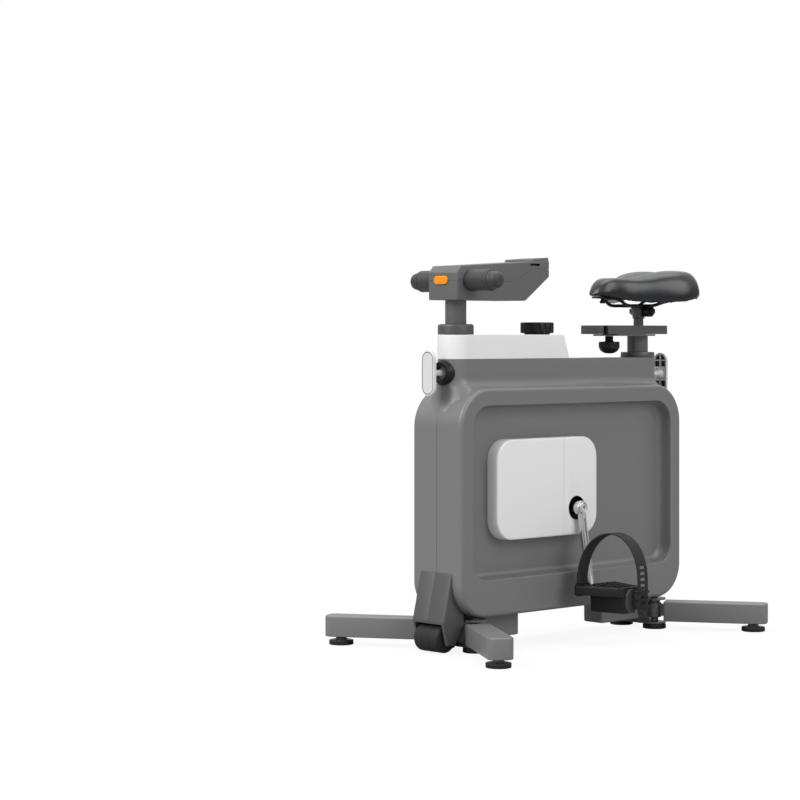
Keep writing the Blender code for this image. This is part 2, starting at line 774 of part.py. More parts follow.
def body_cavity(side):
    """The hollow inside the shells, which leaves the wall round the recess."""
    reach = BODY_HALF_WIDTH - SHELL_WALL
    hollow = helper(f"cavity_{side}", prism("Y", inset(body_outline(), SHELL_WALL), -reach, reach))
    beam = prism("Z", inset(beam_outline(), SHELL_WALL), BODY_TOP - BODY_TOP_CORNER, BEAM_TOP - SHELL_WALL)
    fuse(hollow, "beam", beam)
    floor = BODY_HALF_WIDTH - RECESS_DEPTH - SHELL_WALL
    for wall in (-1, 1):
        low, high = sorted((wall * floor, wall * (BODY_HALF_WIDTH + 2)))
        cut(hollow, f"recess_wall_{wall}", prism("Y", recess_outline(SHELL_WALL), low, high))
    return hollow


def body_shell(name, side):
    levels = eased(-BODY_HALF_WIDTH, BODY_HALF_WIDTH, BODY_EDGE, BODY_EDGE)
    shell = solid(name, stack("Y", body_outline(), levels), "body_grey")
    beam_levels = eased(BODY_TOP - BODY_TOP_CORNER, BEAM_TOP, 0, BEAM_EDGE, 1)
    fuse(shell, "beam", stack("Z", beam_outline(), beam_levels))
    fuse(shell, "fillet", beam_fillet(side))
    for end in (-1, 1):
        fuse(shell, f"skirt_{end}", skirt(end, 0, SKIRT_BOTTOM, BODY_BOTTOM + SHELL_WALL / 2))
    cut(shell, "recess", recess_cutter(side))
    combine(shell, "DIFFERENCE", body_cavity(side))
    for end in (-1, 1):
        low = SKIRT_BOTTOM + SHELL_WALL
        cut(shell, f"skirt_hollow_{end}", skirt(end, -SHELL_WALL, low, BODY_BOTTOM + SHELL_WALL + 1))
    reach = BODY_HALF_LENGTH + 20
    near, far = sorted((-side * (BODY_HALF_WIDTH + 20), side * GAP / 2))
    cut(shell, "seam", block(-reach, reach, near, far, 0, BEAM_TOP + 20))
    for x in (FRONT_POST_X, REAR_POST_X):
        cut(shell, f"tube_{x:.0f}", rod("Z", (x, 0), TUBE_RADIUS + GAP, BEAM_TOP - 15, BEAM_TOP + 15, 24))
    cut(shell, "dial", rod("Z", (DIAL_X, 0), DIAL_SHAFT_HOLE, BEAM_TOP - 15, BEAM_TOP + 15))
    front = FRONT_POST_X - BEAM_RADIUS
    cut(shell, "front_pin", rod("X", (0, FRONT_PIN_Z), PIN_STEM_RADIUS + 2, front - 6, front + 6))
    rear = REAR_POST_X + BEAM_RADIUS
    cut(shell, "rear_pin", rod("X", (0, REAR_PIN_Z), PIN_STEM_RADIUS + GAP, rear - 6, rear + 6))
    near, far = sorted((side * (BODY_HALF_WIDTH - RECESS_DEPTH - 8), side * BODY_HALF_WIDTH))
    cut(shell, "axle", rod("Y", (0, CRANK_Z), AXLE_HOLE_RADIUS, near, far))
    return shell


def crank_cover(name, side):
    low, high = CRANK_Z - CRANK_COVER_BELOW, CRANK_Z + CRANK_COVER_ABOVE
    corners = rectangle(-CRANK_COVER_AHEAD, CRANK_COVER_BEHIND, low, high)
    outline = rounded(corners, [CRANK_COVER_CORNER], 5)
    seat = BODY_HALF_WIDTH - RECESS_DEPTH + GAP
    levels = [(side * y, amount) for y, amount in eased(seat, CRANK_COVER_FACE, 0, CRANK_COVER_EDGE)]
    cover = solid(name, stack("Y", outline, levels), "white_plastic")
    near, far = sorted((side * (seat - 5), side * (CRANK_COVER_FACE - CRANK_COVER_WALL)))
    cut(cover, "hollow", prism("Y", inset(outline, CRANK_COVER_WALL + 1), near, far))
    near, far = sorted((side * seat, side * (CRANK_COVER_FACE + 5)))
    cut(cover, "crank_hole", rod("Y", (0, CRANK_Z), CRANK_HOLE_RADIUS, near, far, 28))
    near, far = sorted((side * (CRANK_COVER_FACE - SEAM_DEPTH), side * (CRANK_COVER_FACE + 2)))
    left = CRANK_COVER_SEAM_X - SEAM_WIDTH / 2
    cut(cover, "seam", block(left, left + SEAM_WIDTH, near, far, low - 2, high + 2))
    return cover


# Covers on the beam
def top_cover_solid(shrink, low, high):
    """The white cover: round in front, with a slanted rear end."""
    rings = []
    for z, ease in ((low, 0), (high - TOP_COVER_EDGE, 0), (high, TOP_COVER_EDGE)):
        share = (z - BEAM_TOP) / TOP_COVER_HEIGHT
        rear = TOP_COVER_REAR_LOW + (TOP_COVER_REAR_HIGH - TOP_COVER_REAR_LOW) * share
        half = BEAM_RADIUS
        front = arc((FRONT_POST_X, 0), half, math.pi / 2, 3 * math.pi / 2, 10)
        back_radii = [0, TOP_COVER_CORNER, TOP_COVER_CORNER, 0]
        back = rounded(rectangle(FRONT_POST_X, rear, -half, half), back_radii, 3)
        outline = front + back[1:-1]
        rings.append([along("Z", u, v, z) for u, v in inset(outline, shrink + ease)])
    return loft(rings)


def top_cover():
    low = BEAM_TOP + GAP
    high = TOP_COVER_TOP
    cover = solid("top_cover", top_cover_solid(0, low, high), "white_plastic")
    cut(cover, "hollow", top_cover_solid(TOP_COVER_WALL, low - 5, high - TOP_COVER_WALL))
    cut(cover, "tube", rod("Z", (FRONT_POST_X, 0), TUBE_RADIUS + GAP, high - 10, high + 10, 24))
    cut(cover, "dial", rod("Z", (DIAL_X, 0), DIAL_SHAFT_HOLE, high - 10, high + 10))
    return cover


def collar(name, x, post_radius, low, radius, height, chamfer):
    """A collar on a post tube, with the bush that guides the post."""
    bore = post_radius + GAP
    bush = TUBE_RADIUS - TUBE_WALL - GAP
    profile = [(bore, low - BUSH_LENGTH), (bush, low - BUSH_LENGTH), (bush, low), (radius, low)]
    profile += [(radius, low + height - chamfer), (radius - chamfer, low + height), (bore, low + height)]
    return solid(name, turned("Z", (x, 0), profile, 24), "dark_plastic")


def post_collar():
    shape = (POST_COLLAR_RADIUS, POST_COLLAR_HEIGHT, POST_COLLAR_CHAMFER)
    return collar("post_collar", FRONT_POST_X, FRONT_POST_RADIUS, TOP_COVER_TOP + GAP, *shape)


def seat_collar():
    shape = (SEAT_COLLAR_RADIUS, SEAT_COLLAR_HEIGHT, SEAT_COLLAR_CHAMFER)
    return collar("seat_collar", REAR_POST_X, REAR_POST_RADIUS, BEAM_TOP + GAP, *shape)


# Main frame
def side_plate():
    """The upright plate that carries the bottom bracket, the flywheel and the brake."""
    corners = [
        (FRONT_POST_X, FLYWHEEL_Z - PLATE_MARGIN),
        (FLYWHEEL_X, FLYWHEEL_Z - PLATE_MARGIN),
        (-BRACKET_SHELL_RADIUS, CRANK_Z - BRACKET_SHELL_RADIUS),
        (REAR_POST_X, CRANK_Z - BRACKET_SHELL_RADIUS),
        (REAR_POST_X, CRANK_Z + BRACKET_SHELL_RADIUS),
        (BRACKET_SHELL_RADIUS, BRAKE_PIVOT_Z + PLATE_MARGIN),
        (FRONT_POST_X, FLYWHEEL_Z + PLATE_MARGIN),
    ]
    return prism("Y", corners, PLATE_LOW, PLATE_HIGH)


def main_frame():
    low = BODY_BOTTOM + SHELL_WALL + RAIL_CLEARANCE
    tube_low = low + RAIL_HEIGHT - TUBE_FOOT
    front_top = TOP_COVER_TOP
    frame = solid("main_frame", rod("Z", (FRONT_POST_X, 0), TUBE_RADIUS, tube_low, front_top, 24), "steel")
    fuse(frame, "rear_tube", rod("Z", (REAR_POST_X, 0), TUBE_RADIUS, tube_low, BEAM_TOP, 24))
    half = RAIL_HALF_WIDTH
    fuse(frame, "rail", block(FRONT_POST_X, REAR_POST_X, -half, half, low, low + RAIL_HEIGHT))
    fuse(frame, "plate", side_plate())
    bracket_high = PLATE_HIGH + BRACKET_PROUD / 2
    fuse(frame, "bracket", rod("Y", (0, CRANK_Z), BRACKET_SHELL_RADIUS, BRACKET_LOW, bracket_high, 20))
    bore = TUBE_RADIUS - TUBE_WALL
    for label, x, top in (("front", FRONT_POST_X, front_top), ("rear", REAR_POST_X, BEAM_TOP)):
        cut(frame, label + "_bore", rod("Z", (x, 0), bore, low + RAIL_HEIGHT + TUBE_FOOT, top + 5, 24))
    bracket_bore = BRACKET_RADIUS + GAP
    cut(frame, "bracket_bore", rod("Y", (0, CRANK_Z), bracket_bore, BRACKET_LOW - 5, PLATE_HIGH + 9, 20))
    flywheel = rod("Y", (FLYWHEEL_X, FLYWHEEL_Z), FLYWHEEL_AXLE_RADIUS + GAP, PLATE_LOW - 5, PLATE_HIGH + 5)
    cut(frame, "flywheel_hole", flywheel)
    pivot = rod("Y", (BRAKE_PIVOT_X, BRAKE_PIVOT_Z), BRAKE_PIN_RADIUS + GAP, PLATE_LOW - 5, PLATE_HIGH + 5)
    cut(frame, "brake_hole", pivot)
    hole = PIN_STEM_RADIUS + GAP
    front = FRONT_POST_X - TUBE_RADIUS
    cut(frame, "front_pin_hole", rod("X", (0, FRONT_PIN_Z), hole, front - 5, front + 12))
    rear = REAR_POST_X + TUBE_RADIUS
    cut(frame, "rear_pin_hole", rod("X", (0, REAR_PIN_Z), hole, rear - 12, rear + 5))
    return frame


# Pull knobs
def pull_knob(name, end, post_x, post_radius, pin_z, reach):
    """A pill-shaped knob with a ribbed back, its stem and the pin that enters the post."""
    face = abs(post_x) + reach
    back = face - PULL_THICKNESS
    tube = abs(post_x) + TUBE_RADIUS
    shoulder = tube - 0.5
    tip = abs(post_x) + post_radius - PIN_ENGAGEMENT
    half = PULL_HEIGHT / 2 - PULL_HALF_WIDTH
    outline = [(v, u + pin_z) for u, v in stadium((-half, 0), (half, 0), PULL_HALF_WIDTH, 7)]
    levels = [(end * x, amount) for x, amount in eased(back, face, 0.6, PULL_EDGE, 1)]
    knob = solid(name, stack("X", outline, levels), "white_plastic", (end * face, 0, pin_z))
    for index, (low, high) in enumerate(pull_rows()):
        for side in (-1, 1):
            near, far = sorted((end * (back - 2), end * (back + PULL_POCKET_DEPTH)))
            pocket_form = pull_pocket(outline, side, pin_z, low, high, near, far)
            pocket = helper(f"{name}_pocket_{index}_{side}", pocket_form)
            combine(knob, "DIFFERENCE", pocket)
    profile = [(0, tip), (PIN_RADIUS, tip), (PIN_RADIUS, shoulder), (PIN_STEM_RADIUS, shoulder)]
    profile += [(PIN_STEM_RADIUS, back - PULL_CONE_LENGTH), (PULL_CONE_RADIUS, back + 1), (0, back + 1)]
    profile = [(radius, end * x) for radius, x in profile]
    return fuse(knob, "stem", turned("X", (0, pin_z), profile, 12))


def pull_rows():
    """The heights of the pockets above and below the knob's core."""
    rows = []
    for side in (-1, 1):
        low = PULL_CORE_HALF
        for _ in range(2):
            rows.append(tuple(sorted((side * low, side * (low + PULL_POCKET_HEIGHT)))))
            low += PULL_POCKET_HEIGHT + PULL_RIB
    return rows


def pull_pocket(outline, side, pin_z, low, high, near, far):
    """A pocket as wide as the knob's rim leaves at each height."""
    points = []
    for z in (low, (low + high) / 2, high):
        reach = abs(z) - (PULL_HEIGHT / 2 - PULL_HALF_WIDTH)
        radius = PULL_HALF_WIDTH - PULL_RIM
        width = radius if reach <= 0 else math.sqrt(max(radius**2 - reach**2, 9.0))
        points.append((side * width, z + pin_z))
    points += [(side * PULL_RIB / 2, high + pin_z), (side * PULL_RIB / 2, low + pin_z)]
    return prism("X", points, near, far)


def front_pin_boss():
    """The ring that the front knob's stem runs in, saddled on the beam's round end."""
    beam = FRONT_POST_X - BEAM_RADIUS
    face = beam - BOSS_LENGTH
    back = FRONT_POST_X - BEAM_RADIUS / 2
    rim = BOSS_RADIUS - BOSS_STEP
    profile = [(BOSS_BORE, back), (BOSS_RADIUS, back), (BOSS_RADIUS, face + BOSS_LENGTH / 2)]
    profile += [(rim, face + BOSS_LENGTH * 0.4), (rim, face + 1), (rim - 1, face), (BOSS_BORE, face)]
    boss = solid("front_pin_boss", turned("X", (0, FRONT_PIN_Z), profile, 20), "black_plastic")
    low, high = FRONT_PIN_Z - 40, FRONT_PIN_Z + 40
    return cut(boss, "beam", rod("Z", (FRONT_POST_X, 0), BEAM_RADIUS + GAP, low, high, 32))


# Handlebar
def keyed_post(obj, x, end, radius, pin_z):
    """The keyway on the post's outer side, and the row of holes that the pin drops into."""
    low, high = pin_z - POST_TRAVEL - KEYWAY_END, pin_z + KEYWAY_END
    xs = sorted((x + end * (radius - KEYWAY_DEPTH), x + end * (radius + 5)))
    half = KEYWAY_WIDTH / 2
    cut(obj, "keyway", block(xs[0], xs[1], -half, half, low, high))
    count = int(POST_TRAVEL / HOLE_PITCH) + 1
    near, far = sorted((x + end * (radius - 8), x + end * (radius + 3)))
    for index in range(count):
        cut(obj, f"hole_{index}", rod("X", (0, pin_z - index * HOLE_PITCH), PIN_RADIUS + GAP, near, far, 8))
    return obj


def handlebar_post():
    """The sliding post with the cross tube welded through its top."""
    centre = (FRONT_POST_X, 0)
    origin = (FRONT_POST_X, 0, FRONT_PIN_Z)
    low = FRONT_PIN_Z - POST_TRAVEL - POST_TAIL
    tube = rod("Z", centre, FRONT_POST_RADIUS, low, POST_TOP, 20)
    post = solid("handlebar_post", tube, "black_metal", origin)
    cross = (CROSS_TUBE_X, CROSS_TUBE_Z)
    fuse(post, "cross", rod("Y", cross, CROSS_TUBE_RADIUS, -CROSS_TUBE_END, CROSS_TUBE_END, 16))
    bore = FRONT_POST_RADIUS - POST_WALL
    cut(post, "bore", rod("Z", centre, bore, low - 5, CROSS_TUBE_Z - CROSS_TUBE_RADIUS - POST_WALL, 16))
    bore = CROSS_TUBE_RADIUS - CROSS_TUBE_WALL
    cut(post, "cross_bore", rod("Y", cross, bore, -CROSS_TUBE_END - 5, CROSS_TUBE_END + 5, 12))
    return keyed_post(post, FRONT_POST_X, -1, FRONT_POST_RADIUS, FRONT_PIN_Z)


def unit_corners():
    pad = UNIT_REAR - UNIT_PAD_LENGTH
    return [
        (UNIT_FRONT, UNIT_BOTTOM),
        (UNIT_REAR - UNIT_SLANT_LENGTH, UNIT_BOTTOM),
        (UNIT_REAR, UNIT_BOTTOM + UNIT_REAR_LIFT),
        (UNIT_REAR, UNIT_BOTTOM + UNIT_PAD_REAR_HEIGHT),
        (pad, UNIT_BOTTOM + UNIT_PAD_FRONT_HEIGHT),
        (pad - 2, UNIT_BOTTOM + UNIT_PAD_FRONT_HEIGHT - UNIT_PAD_STEP),
        (UNIT_FRONT + UNIT_BEVEL_LENGTH, UNIT_BOTTOM + UNIT_BEVEL_HEIGHT),
        (UNIT_FRONT, UNIT_BOTTOM + UNIT_FRONT_HEIGHT),
    ]


def seam_line(shift):
    """The line between the two shells: level in front, then rising to the rear end."""
    points = [(UNIT_FRONT - 20, UNIT_SEAM_FRONT + shift)]
    for step in range(6):
        share = step / 5
        height = UNIT_SEAM_RISE * (3 * share**2 - 2 * share**3)
        x = UNIT_REAR - UNIT_SEAM_START + UNIT_SEAM_RUN * share
        points.append((x, UNIT_SEAM_FRONT + height + shift))
    return points + [(UNIT_REAR + 20, UNIT_SEAM_FRONT + UNIT_SEAM_RISE + shift)]


def unit_shell(name, part):
    """One half of the handlebar housing: part is -1 below the seam and 1 above it."""
    levels = eased(-UNIT_HALF_WIDTH, UNIT_HALF_WIDTH, UNIT_EDGE, UNIT_EDGE)
    outline = rounded(unit_corners(), [3, 4, 4, 3, 0, 0, 3, 3], 2)
    origin = (FRONT_POST_X, 0, FRONT_PIN_Z)
    shell = solid(name, stack("Y", outline, levels), "dark_plastic", origin)
    reach = UNIT_HALF_WIDTH - UNIT_WALL
    cut(shell, "hollow", prism("Y", inset(unit_corners(), UNIT_WALL), -reach, reach))
    line = seam_line(part * GAP / 2)
    level = UNIT_BOTTOM + UNIT_PAD_REAR_HEIGHT + 30 if part < 0 else UNIT_BOTTOM - 30
    other = line + [(line[-1][0], level), (line[0][0], level)]
    cut(shell, "seam", prism("Y", other, -UNIT_HALF_WIDTH - 10, UNIT_HALF_WIDTH + 10))
    cross = (CROSS_TUBE_X, CROSS_TUBE_Z)
    reach = UNIT_HALF_WIDTH + 10
    cut(shell, "cross", rod("Y", cross, CROSS_TUBE_RADIUS + GAP, -reach, reach, 16))
    cut(shell, "button", button_solid(UNIT_FRONT - 5, UNIT_FRONT + UNIT_WALL + 2, -GAP))
    if part < 0:
        low = UNIT_BOTTOM - 10
        cut(shell, "post", rod("Z", (FRONT_POST_X, 0), FRONT_POST_RADIUS + GAP, low, low + 20, 20))
        return shell
    rear = UNIT_REAR - UNIT_SLOT_SETBACK
    middle = UNIT_BOTTOM + UNIT_PAD_REAR_HEIGHT - UNIT_SLOT_DROP
    low, high = middle - UNIT_SLOT_HEIGHT / 2, middle + UNIT_SLOT_HEIGHT / 2
    for side in (-1, 1):
        near, far = sorted((side * (UNIT_HALF_WIDTH - UNIT_WALL - 2), side * (UNIT_HALF_WIDTH + 2)))
        cut(shell, f"slot_{side}", block(rear - UNIT_SLOT_LENGTH, rear, near, far, low, high))
    return shell


def button_solid(front, back, shrink):
    straight = BUTTON_HALF_WIDTH - BUTTON_HALF_HEIGHT
    outline = stadium((BUTTON_Y - straight, BUTTON_Z), (BUTTON_Y + straight, BUTTON_Z), BUTTON_HALF_HEIGHT, 6)
    return prism("X", inset(outline, shrink), front, back)


def release_button():
    straight = BUTTON_HALF_WIDTH - BUTTON_HALF_HEIGHT
    outline = stadium((BUTTON_Y - straight, BUTTON_Z), (BUTTON_Y + straight, BUTTON_Z), BUTTON_HALF_HEIGHT, 6)
    levels = eased(UNIT_FRONT - BUTTON_PROUD, UNIT_FRONT + BUTTON_DEPTH, BUTTON_EDGE, 0)
    origin = (UNIT_FRONT, BUTTON_Y, BUTTON_Z)
    return solid("release_button", stack("X", outline, levels), "orange_plastic", origin)


def grip(name, side):
    bore = CROSS_TUBE_RADIUS + GAP
    step = GRIP_END - GRIP_TIP_LENGTH
    profile = [(bore, GRIP_INNER), (GRIP_RADIUS, GRIP_INNER), (GRIP_RADIUS, step - 1)]
    profile += [(GRIP_RADIUS - 1.5, step), (GRIP_TIP_RADIUS, step + 3), (GRIP_TIP_RADIUS, GRIP_END - 12)]
    profile += [(GRIP_TIP_RADIUS - 4, GRIP_END - 4), (GRIP_TIP_RADIUS - 11, GRIP_END), (0, GRIP_END)]
    profile += [(0, CROSS_TUBE_END + GAP), (bore, CROSS_TUBE_END + GAP)]
    profile = [(radius, side * y) for radius, y in profile]
    points, faces = grip_mesh(profile)
    return solid(name, (points, faces), "rubber", (FRONT_POST_X, 0, FRONT_PIN_Z))


def grip_mesh(profile):
    """The sleeve is open inwards: its outer profile ends on the axis, and so does its bore."""
    split = [index for index, (radius, _) in enumerate(profile) if radius == 0]
    outer = profile[: split[0] + 1]
    inner = profile[split[1]:] + profile[:1]
    first_points, first_faces = turned("Y", (CROSS_TUBE_X, CROSS_TUBE_Z), outer[::-1], 20)
    second_points, second_faces = turned("Y", (CROSS_TUBE_X, CROSS_TUBE_Z), inner, 20)
    return join_on_ring(first_points, first_faces, second_points, second_faces)


def join_on_ring(first_points, first_faces, second_points, second_faces):
    """Two open surfaces that share a ring become one mesh."""
    points = []
    where = {}
    faces = []
    for source_points, source_faces in ((first_points, first_faces), (second_points, second_faces)):
        names = []
        for point in source_points:
            key = tuple(round(value, 4) for value in point)
            if key not in where:
                where[key] = len(points)
                points.append(point)
            names.append(where[key])
        faces += [tuple(names[index] for index in face) for face in source_faces]
    return points, faces


def dial():
    """The fluted knob, its neck and the shaft that works the brake."""
    low = TOP_COVER_TOP + GAP
    base = low + DIAL_NECK_HEIGHT
    outline = []
    for index in range(DIAL_FLUTES * 2):
        radius = DIAL_RADIUS - DIAL_FLUTE * (index % 2)
        angle = math.pi * index / DIAL_FLUTES
        outline.append((DIAL_X + radius * math.cos(angle), radius * math.sin(angle)))
    body = stack("Z", outline, eased(base, base + DIAL_HEIGHT, 0, 1.2, 1))
    knob = solid("resistance_dial", body, "black_plastic", (DIAL_X, 0, base), False)
    fuse(knob, "neck", rod("Z", (DIAL_X, 0), DIAL_NECK_RADIUS, low, base + 1, 20))
    return fuse(knob, "shaft", rod("Z", (DIAL_X, 0), DIAL_SHAFT_RADIUS, BRAKE_TOP + DIAL_SHAFT_GAP, base + 2))


# Drive
def bottom_bracket():
    cartridge = ring("Y", (0, CRANK_Z), AXLE_RADIUS + GAP, BRACKET_RADIUS, BRACKET_LOW, BRACKET_HIGH)
    return solid("bottom_bracket", cartridge, "steel")


def crank_axle():
    length = AXLE_HALF_LENGTH
    bar = rod("Y", (0, CRANK_Z), AXLE_RADIUS, -length, length, 16)
    axle = solid("crank_axle", bar, "steel", (0, 0, CRANK_Z))
    for side in (-1, 1):
        near, far = sorted((side * (length - CRANK_BOLT_LENGTH - CRANK_BOLT_SEAT), side * (length + 5)))
        cut(axle, f"thread_{side}", rod("Y", (0, CRANK_Z), CRANK_BOLT_SHANK + GAP, near, far))
    return axle


def crank_pulley():
    low, high = PULLEY_Y - PULLEY_WIDTH / 2, PULLEY_Y + PULLEY_WIDTH / 2
    web_low, web_high = PULLEY_Y - PULLEY_WEB / 2, PULLEY_Y + PULLEY_WEB / 2
    rim = CRANK_PULLEY_RADIUS - PULLEY_RIM
    profile = [(AXLE_RADIUS + GAP, low), (PULLEY_HUB_RADIUS, low)]
    profile += [(PULLEY_HUB_RADIUS, web_low), (rim, web_low)]
    profile += [(rim, low), (CRANK_PULLEY_RADIUS, low), (CRANK_PULLEY_RADIUS, high), (rim, high)]
    profile += [(rim, web_high), (PULLEY_HUB_RADIUS, web_high)]
    profile += [(PULLEY_HUB_RADIUS, high), (AXLE_RADIUS + GAP, high)]
    wheel = turned("Y", (0, CRANK_Z), profile, 24)
    return solid("crank_pulley", wheel, "black_plastic", (0, PULLEY_Y, CRANK_Z))


def flywheel():
    low, high = FLYWHEEL_Y - FLYWHEEL_WIDTH / 2, FLYWHEEL_Y + FLYWHEEL_WIDTH / 2
    web_low, web_high = FLYWHEEL_Y - FLYWHEEL_WEB / 2, FLYWHEEL_Y + FLYWHEEL_WEB / 2
    rim = FLYWHEEL_RADIUS - FLYWHEEL_RIM
    bore = FLYWHEEL_AXLE_RADIUS + GAP
    pulley = PULLEY_Y - PULLEY_WIDTH / 2
    profile = [(bore, pulley), (FLYWHEEL_PULLEY_RADIUS, pulley)]
    profile += [(FLYWHEEL_PULLEY_RADIUS, web_low), (rim, web_low)]
    profile += [(rim, low), (FLYWHEEL_RADIUS, low), (FLYWHEEL_RADIUS, high), (rim, high)]
    profile += [(rim, web_high), (FLYWHEEL_PULLEY_RADIUS, web_high)]
    profile += [(FLYWHEEL_PULLEY_RADIUS, high), (bore, high)]
    wheel = turned("Y", (FLYWHEEL_X, FLYWHEEL_Z), profile, 24)
    return solid("flywheel", wheel, "steel", (FLYWHEEL_X, FLYWHEEL_Y, FLYWHEEL_Z))


def flywheel_axle():
    low = PULLEY_Y - PULLEY_WIDTH / 2 - 1
    high = PLATE_HIGH + FLYWHEEL_AXLE_PROUD
    axle = rod("Y", (FLYWHEEL_X, FLYWHEEL_Z), FLYWHEEL_AXLE_RADIUS, low, high)
    return solid("flywheel_axle", axle, "steel")


def belt_loop(grow):
    """The outline of a belt round both pulleys, at a distance from their rims."""
    big = CRANK_PULLEY_RADIUS + grow
    small = FLYWHEEL_PULLEY_RADIUS + grow
    span = Vector((FLYWHEEL_X, FLYWHEEL_Z - CRANK_Z))
    heading = math.atan2(span.y, span.x)
    wrap = math.acos((big - small) / span.length)
    points = arc((0, CRANK_Z), big, heading + wrap, heading + 2 * math.pi - wrap, 26)
    return points + arc((FLYWHEEL_X, FLYWHEEL_Z), small, heading - wrap, heading + wrap, 10)


def drive_belt():
    outer = belt_loop(GAP + BELT_THICKNESS)
    inner = belt_loop(GAP)
    low, high = PULLEY_Y - BELT_WIDTH / 2, PULLEY_Y + BELT_WIDTH / 2
    rows = ((outer, low), (outer, high), (inner, high), (inner, low))
    rings = [[along("Y", u, v, y) for u, v in outline] for outline, y in rows]
    count = len(outer)
    points = [point for row in rings for point in row]
    faces = []
    for row in range(4):
        for index in range(count):
            ahead = (index + 1) % count
            base, above = row * count, (row + 1) % 4 * count
            faces.append((base + index, base + ahead, above + ahead, above + index))
    return solid("drive_belt", (points, faces), "rubber")


def brake_bracket():
    """The forked arm whose magnets straddle the flywheel's rim, hung on a pin in the side plate."""
    pivot = Vector((BRAKE_PIVOT_X, BRAKE_PIVOT_Z))
    hub = Vector((FLYWHEEL_X, FLYWHEEL_Z))
    outer = FLYWHEEL_RADIUS + BRAKE_RIM_CLEARANCE + BRAKE_BACK
    inner = FLYWHEEL_RADIUS - BRAKE_REACH
    corners = [(pivot.x, pivot.y - BRAKE_EYE_RADIUS), (pivot.x + BRAKE_EYE_RADIUS, pivot.y)]
    corners += arc(hub, outer, math.radians(22), math.radians(30), 2)
    corners += [(DIAL_X + BRAKE_TAB, BRAKE_TOP), (DIAL_X - BRAKE_TAB, BRAKE_TOP)]
    corners += arc(hub, inner, math.radians(64), math.radians(30), 4)
    low = FLYWHEEL_Y - FLYWHEEL_WIDTH / 2 - BRAKE_GAP
    high = FLYWHEEL_Y + FLYWHEEL_WIDTH / 2 + BRAKE_GAP
    arm = prism("Y", corners, low - BRAKE_LEAF, high + BRAKE_LEAF)
    bracket = solid("brake_bracket", arm, "steel", (pivot.x, 0, pivot.y))
    slot = rod("Y", hub, FLYWHEEL_RADIUS + BRAKE_RIM_CLEARANCE, low, high, 48)
    cut(bracket, "slot", slot)
    return fuse(bracket, "pin", rod("Y", pivot, BRAKE_PIN_RADIUS, high + 1, PLATE_HIGH))


def pedal_axle(side):
    """Where the pedal axle crosses the crank: below the hub on the left, above it on the right."""
    return (-side * CRANK_LENGTH * math.sin(CRANK_TILT), CRANK_Z + side * CRANK_LENGTH * math.cos(CRANK_TILT))


def crank_section(side, x, z, y, width, thickness):
    bevel = thickness * 0.2
    corners = rectangle(-width / 2, width / 2, -thickness / 2, thickness / 2)
    outline = rounded(corners, [bevel], 1)
    return [(x + u, side * (y + v), z) for u, v in outline]


def crank(name, side):
    """A crank that leans outwards from its hub to its eye, with a groove along its outer face."""
    end_x, end_z = pedal_axle(side)
    top_y = CRANK_HUB_OUTER - CRANK_THICK_TOP / 2 - 1
    low_y = (CRANK_EYE_OUTER + CRANK_EYE_INNER) / 2
    rings = []
    for step in range(5):
        share = step / 4
        y = top_y + (low_y - top_y) * (3 * share**2 - 2 * share**3)
        width = CRANK_WIDTH_TOP + (CRANK_WIDTH_LOW - CRANK_WIDTH_TOP) * share
        thick = CRANK_THICK_TOP + (CRANK_THICK_LOW - CRANK_THICK_TOP) * share
        rings.append(crank_section(side, end_x * share, CRANK_Z + (end_z - CRANK_Z) * share, y, width, thick))
    arm = solid(name, loft(rings), "bright_metal", (0, 0, CRANK_Z))
    near, far = sorted((side * CRANK_HUB_INNER, side * CRANK_HUB_OUTER))
    fuse(arm, "hub", rod("Y", (0, CRANK_Z), CRANK_HUB_RADIUS, near, far, 20))
    near, far = sorted((side * CRANK_EYE_INNER, side * CRANK_EYE_OUTER))
    fuse(arm, "eye", rod("Y", (end_x, end_z), CRANK_EYE_RADIUS, near, far, 14))
    cut(arm, "groove", crank_groove(side, end_x, end_z, top_y, low_y))
    near, far = sorted((side * (CRANK_HUB_INNER - 5), side * (AXLE_HALF_LENGTH + GAP)))
    cut(arm, "bore", rod("Y", (0, CRANK_Z), AXLE_RADIUS + GAP, near, far, 16))
    near, far = sorted((side * AXLE_HALF_LENGTH, side * (CRANK_HUB_OUTER + 5)))
    cut(arm, "bolt_hole", rod("Y", (0, CRANK_Z), CRANK_BOLT_SHANK + GAP, near, far))
    near, far = sorted((side * (CRANK_EYE_INNER - 5), side * (CRANK_EYE_OUTER + 5)))
    cut(arm, "eye_hole", rod("Y", (end_x, end_z), SPINDLE_RADIUS + GAP, near, far, 14))
    return arm


def crank_groove(side, end_x, end_z, top_y, low_y):
    rings = []
    for step in range(5):
        share = 0.16 + 0.68 * step / 4
        y = top_y + (low_y - top_y) * (3 * share**2 - 2 * share**3)
        thick = CRANK_THICK_TOP + (CRANK_THICK_LOW - CRANK_THICK_TOP) * share
        floor = y + thick / 2 - CRANK_GROOVE_DEPTH
        half = CRANK_GROOVE_WIDTH / 2 * (1 - 0.5 * abs(step - 2) / 2)
        x, z = end_x * share, CRANK_Z + (end_z - CRANK_Z) * share
        section = rectangle(-half, half, 0, CRANK_GROOVE_DEPTH + 4)
        rings.append([(x + u, side * (floor + v), z) for u, v in section])
    return loft(rings)


